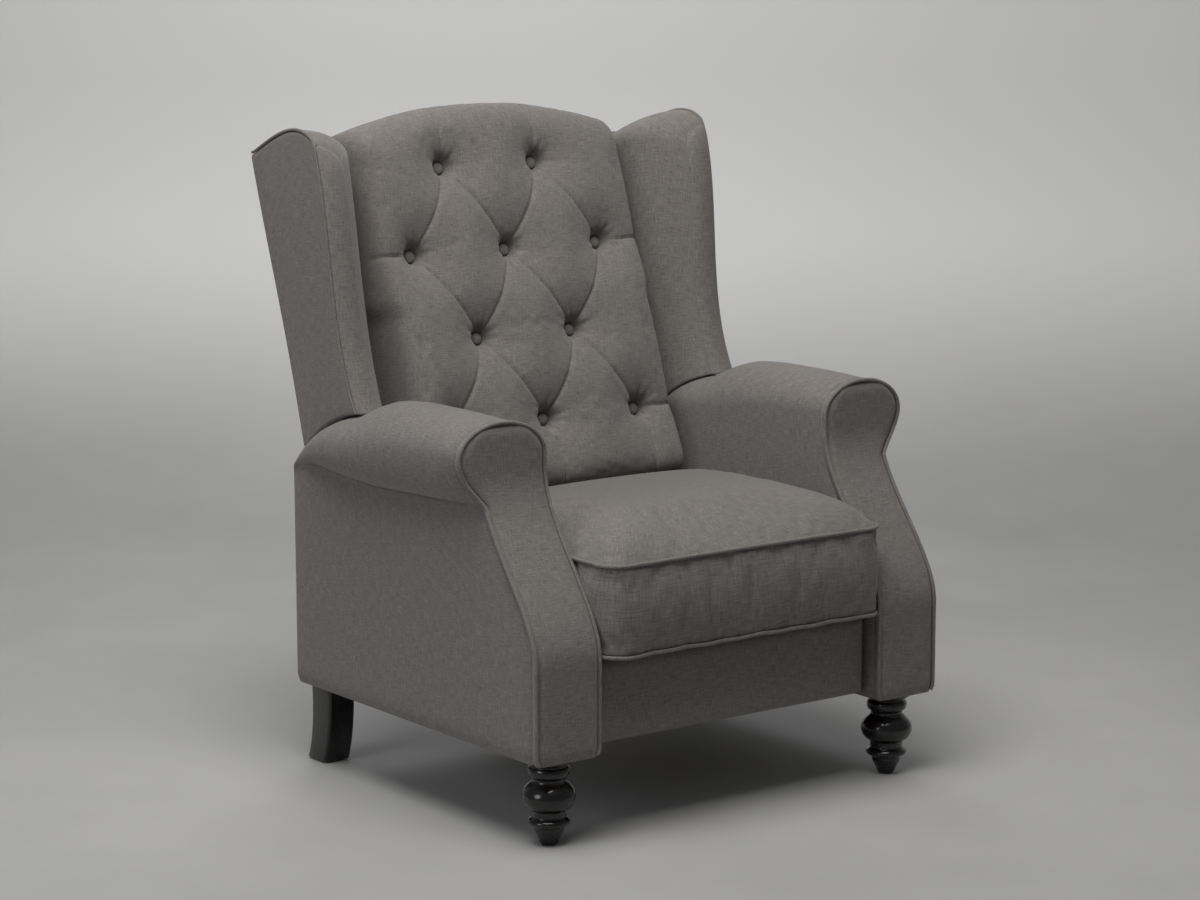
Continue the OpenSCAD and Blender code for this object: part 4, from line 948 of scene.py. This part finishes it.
# Buttons: ten domed metal shells 19 mm across, covered in the same cloth. Twine runs from each
# one through the foam to the back frame, and pulls it down into its pit.
button_tree, start, (_, button_radius, button_tilt) = new_tree("Covered buttons", (
    ("Places", "NodeSocketGeometry"), ("Radius", "NodeSocketFloat"),
    ("Tilt", "NodeSocketVector")))
ball = add(button_tree, "GeometryNodeMeshUVSphere", None, {
    "Segments": 28, "Rings": 14, "Radius": start["Radius"]})
flat = add(button_tree, "GeometryNodeTransform", None, {
    "Geometry": ball.outputs["Mesh"], "Scale": (1.0, 1.0, 0.44)})
placed = add(button_tree, "GeometryNodeInstanceOnPoints", None, {
    "Points": start["Places"], "Instance": flat.outputs["Geometry"], "Rotation": start["Tilt"]})
end_tree(button_tree, placed.outputs["Instances"])
centres = [on_slope(b[0], frame_face - plain_depth(b[1]) + 0.0092, b[1] + cushion_lift)
           for b in buttons]
cover_buttons = apply_tree("covered_buttons", centres, button_tree, {
    button_radius: 0.0096, button_tilt: (float(np.pi / 2 - lean), 0.0, 0.0)})
box_cloth(cover_buttons.data)
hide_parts("back_buttons")
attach(cover_buttons, "back")

# Wings: padded boards on the back's stiles with a rolled nose, covered in one piece outside and
# one inside that meet in self piping along the front edge. They clear the arms as the back tips.
pivot = np.array([pivot_y, pivot_z])
wing_arc, wing_thick, lip_thick, lip_long = 0.2564, 0.044, 0.0050, 0.0100
nose_low = np.array([0.101, 0.0])
nose_low[1] = pivot[1] + np.sqrt(wing_arc ** 2 - (nose_low[0] - pivot[0]) ** 2)
nose_high, wing_rear_d, wing_rear_top = np.array([0.190, 0.955]), -0.0124, 0.463


def rear_line(s):
    """Side view of the wing's rear edge, s up the slope: y, z."""
    return on_slope(0.0, wing_rear_d, s)[..., 1:]


foot = rear_line(np.array(0.0)) - pivot
along_slope = np.array([np.sin(lean), np.cos(lean)])
h = foot @ along_slope
rear_start = -h + np.sqrt(h * h - foot @ foot + wing_arc ** 2)
rear_low, rear_high = rear_line(np.array(rear_start)), rear_line(np.array(wing_rear_top))
angle_front = np.arctan2(*(nose_low - pivot))
angle_rear = np.arctan2(*(rear_low - pivot))


def wing_place(s, t):
    """Side view of the wing: s from its front edge to the rear, t from its foot to the top."""
    one = 1 - t
    front = sum(k[..., None] * np.array(p) for k, p in (
        (one ** 3, nose_low), (3 * one ** 2 * t, nose_low + [0.070, 0.118]),
        (3 * one * t ** 2, nose_high - [0.044, 0.130]), (t ** 3, nose_high)))
    back = rear_line(rear_start + (wing_rear_top - rear_start) * t)
    a = angle_front + (angle_rear - angle_front) * s
    low = pivot + wing_arc * np.stack([np.sin(a), np.cos(a)], -1)
    high = nose_high + (rear_high - nose_high) * s[..., None]
    high = high + np.stack([0 * s, 0.028 * np.sin(np.pi * s ** 0.7)], -1)
    s1, t1 = s[..., None], t[..., None]
    corners = (1 - t1) * (nose_low + (rear_low - nose_low) * s1) \
        + t1 * (nose_high + (rear_high - nose_high) * s1)
    return (1 - s1) * front + s1 * back + (1 - t1) * low + t1 * high - corners


def wing_side(z):
    """How far out the wing's outer face stands at a height: it leans out a little."""
    return 0.370 - 0.010 * (1 - smooth((z - nose_low[1]) / 0.400))


def groove(d):
    """How far the cloth is drawn in along a seam, at a distance from it."""
    return 0.0060 * float(np.exp(-(d / 0.0032) ** 2))


def wing_sheets():
    """Outer face, rolled nose and inner face as one sheet that runs round the front edge."""
    top_turn = 0.10
    closing = 1 - np.sin(np.radians(np.linspace(0, 90, 16)))
    t = np.concatenate([eased(60, 0, 1 - top_turn)[:-1], 1 - top_turn * closing])
    outer_s = np.concatenate([np.linspace(1, 0.035, 24), [0.020, 0.012, 0.006, 0.0]])
    inner_s = np.linspace(0, 1, 34) ** 1.25
    nose = np.radians(np.concatenate([[3.5, 7.0], np.linspace(0, 180, 17)[1:-1]]))
    # A lip of the cloth laps the edge of the board behind: how far in, and how far back
    lip = ((lip_thick, 0.0), (lip_thick, lip_long), (0.0015, lip_long), (0.0, lip_long - 0.0015))
    sheet = []
    for tt in t:
        tv = np.full(1, tt)
        shut, to_top = float(round_over(1 - tt, top_turn)), (1 - tt) * 0.46
        y, z = wing_place(np.ones(1), tv)[0]
        x = wing_side(z) - groove(min(0.22, to_top))
        row = [(x - inward * shut, y + back * np.cos(lean), z - back * np.sin(lean))
               for inward, back in lip]
        for s in outer_s:
            y, z = wing_place(np.full(1, s), tv)[0]
            belly = 0.0035 * np.sin(np.pi * s) ** 0.7 * np.sin(np.pi * tt) ** 0.6
            row.append((wing_side(z) + belly - groove(min(s * 0.22, to_top)), y, z))
        y0, z0 = wing_place(np.zeros(1), tv)[0]
        thick = wing_thick * shut
        for a in nose:
            row.append((wing_side(z0) - thick * (1 - np.cos(a)) / 2 - groove(thick * a / 2) * shut,
                        y0 - 0.010 * shut * np.sin(a), z0))
        for s in inner_s:
            y, z = wing_place(np.full(1, s), tv)[0]
            whole = wing_side(z) - gap_half
            spread = wing_thick + (whole - wing_thick) * (1 - (1 - min(s / 0.8, 1)) ** 2.2)
            row.append((wing_side(z) - spread * shut, y, z))
        sheet.append(row)
    sheet = np.array(sheet)
    # The foot reaches down over the rounded inner edge of the arm, and clears it all the way
    toward = sheet[..., 1:] - pivot
    away = np.linalg.norm(toward, axis=2, keepdims=True)
    inner_half = edge_x <= 0.325
    drop = np.interp(sheet[..., 0], edge_x[inner_half],
                     np.maximum(wing_arc - edge_reach[inner_half] - 0.0030, 0))
    hold = (1 - np.clip(t / 0.16, 0, 1)) ** 2
    sheet[..., 1:] -= toward / away * (drop * hold[:, None])[..., None]
    front_edge = sheet[:, len(lip) + len(outer_s) - 1]
    return [sheet, np.stack([sheet[:, 0], sheet[:, -1]], 1)], front_edge


wing_faces, wing_edge = wing_sheets()
top_edge = np.array([(wing_side(p[1]) - groove(0), p[0], p[1]) for p in (
    wing_place(np.full(1, s), np.ones(1))[0] for s in np.linspace(0, 1, 24)[1:])])
over_lip = 0.7 * lip_long * np.array([0, np.cos(lean), -np.sin(lean)])
top_edge = np.concatenate([top_edge, top_edge[-1:] + over_lip])
wing_cord = np.concatenate([wing_edge + [0.0044, 0.0016, 0], top_edge + [0.0044, 0, 0.0006]])
for side, word in ((-1, "left"), (1, "right")):
    wing = upholster("padded_wing_" + word, mirrored(wing_faces, side))
    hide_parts("wing_" + word)
    cord = piping("wing_piping_" + word, wing_cord * np.array([side, 1, 1]), 0.0022)
    for piece in (wing, cord):
        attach(piece, "back")

# Outside back: cloth over webbing and a thin board across the whole back, pulled smooth, with
# self piping over its top. A loose skirt at its foot hangs over the rear of the base.
up = np.linspace(0, 1, 60)[:, None]
side_x = wing_side(foot_z + up * wing_rear_top * np.cos(lean)) - lip_thick - 0.0004
x = side_x * eased(91, -1, 1)
blend = smooth((np.abs(x) - 0.225) / 0.04)
top = (1 - blend) * arch(x) + blend * wing_rear_top
s = 0.012 + up * (top - 0.012)
puff = 0.004 * round_over(np.minimum(side_x - np.abs(x), top - s), 0.03)
cover = upholster("outside_back_cover", with_rims(
    on_slope(x, puff - 0.004, s), on_slope(x, puff - 0.012, s)))
skirt = upholster("outside_back_skirt", padded_board(0.254, 0.3255, 0.502, 0.2565, 0.2675, 0.003))
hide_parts("back_panel")
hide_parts("back_panel")
for piece in (cover, skirt):
    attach(piece, "back")

# A strip of the cloth closes the slot between the cushion and the outside back, over the top rail
x = np.linspace(-0.2585, 0.2585, 61)[:, None]
over = np.linspace(0, 1, 9)
profile_d = np.concatenate([[-0.0440], -0.0440 + 0.0318 * over, [-0.0122, -0.0440]])
profile_s = np.concatenate([[-0.0205], -0.0015 + 0.0035 * np.sin(np.pi * over), [-0.0205, -0.0205]])
top_strip = upholster("back_top_strip", [on_slope(x, profile_d, arch(x) + profile_s)])
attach(top_strip, "back")
x = np.linspace(-gap_half, gap_half, 61)
cord = piping("outside_back_piping", on_slope(x, -0.006, arch(x) + 0.001))
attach(cord, "back")

# Footrest panel: foam over a board that the mechanism carries, covered plain in the same cloth,
# with its edges pulled round to the rear and stapled.


def footrest_sheets():
    """Face, back and edges of the footrest's cover."""
    u, v = eased(91, -1, 1), eased(37, 0, 1)
    half, low, high, rear, thick = 0.2565, 0.1355, 0.2615, -0.325, 0.025
    x, z = np.meshgrid(u * half, low + v * (high - low))
    near = np.minimum.reduce([half - np.abs(x), z - low, high - z])
    rise = thick * (0.28 + 0.72 * round_over(near, 0.020))
    crown = 0.0025 * np.cos(np.pi * x / half / 2) * np.sin(np.pi * (z - low) / (high - low))
    face = np.stack([x, rear - rise - crown, z], 2)
    return with_rims(face, np.stack([x, np.full_like(x, rear), z], 2))


foot_panel = upholster("footrest_cover", footrest_sheets())
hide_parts("footrest_pad")
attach(foot_panel, "footrest")

bpy.context.view_layer.update()
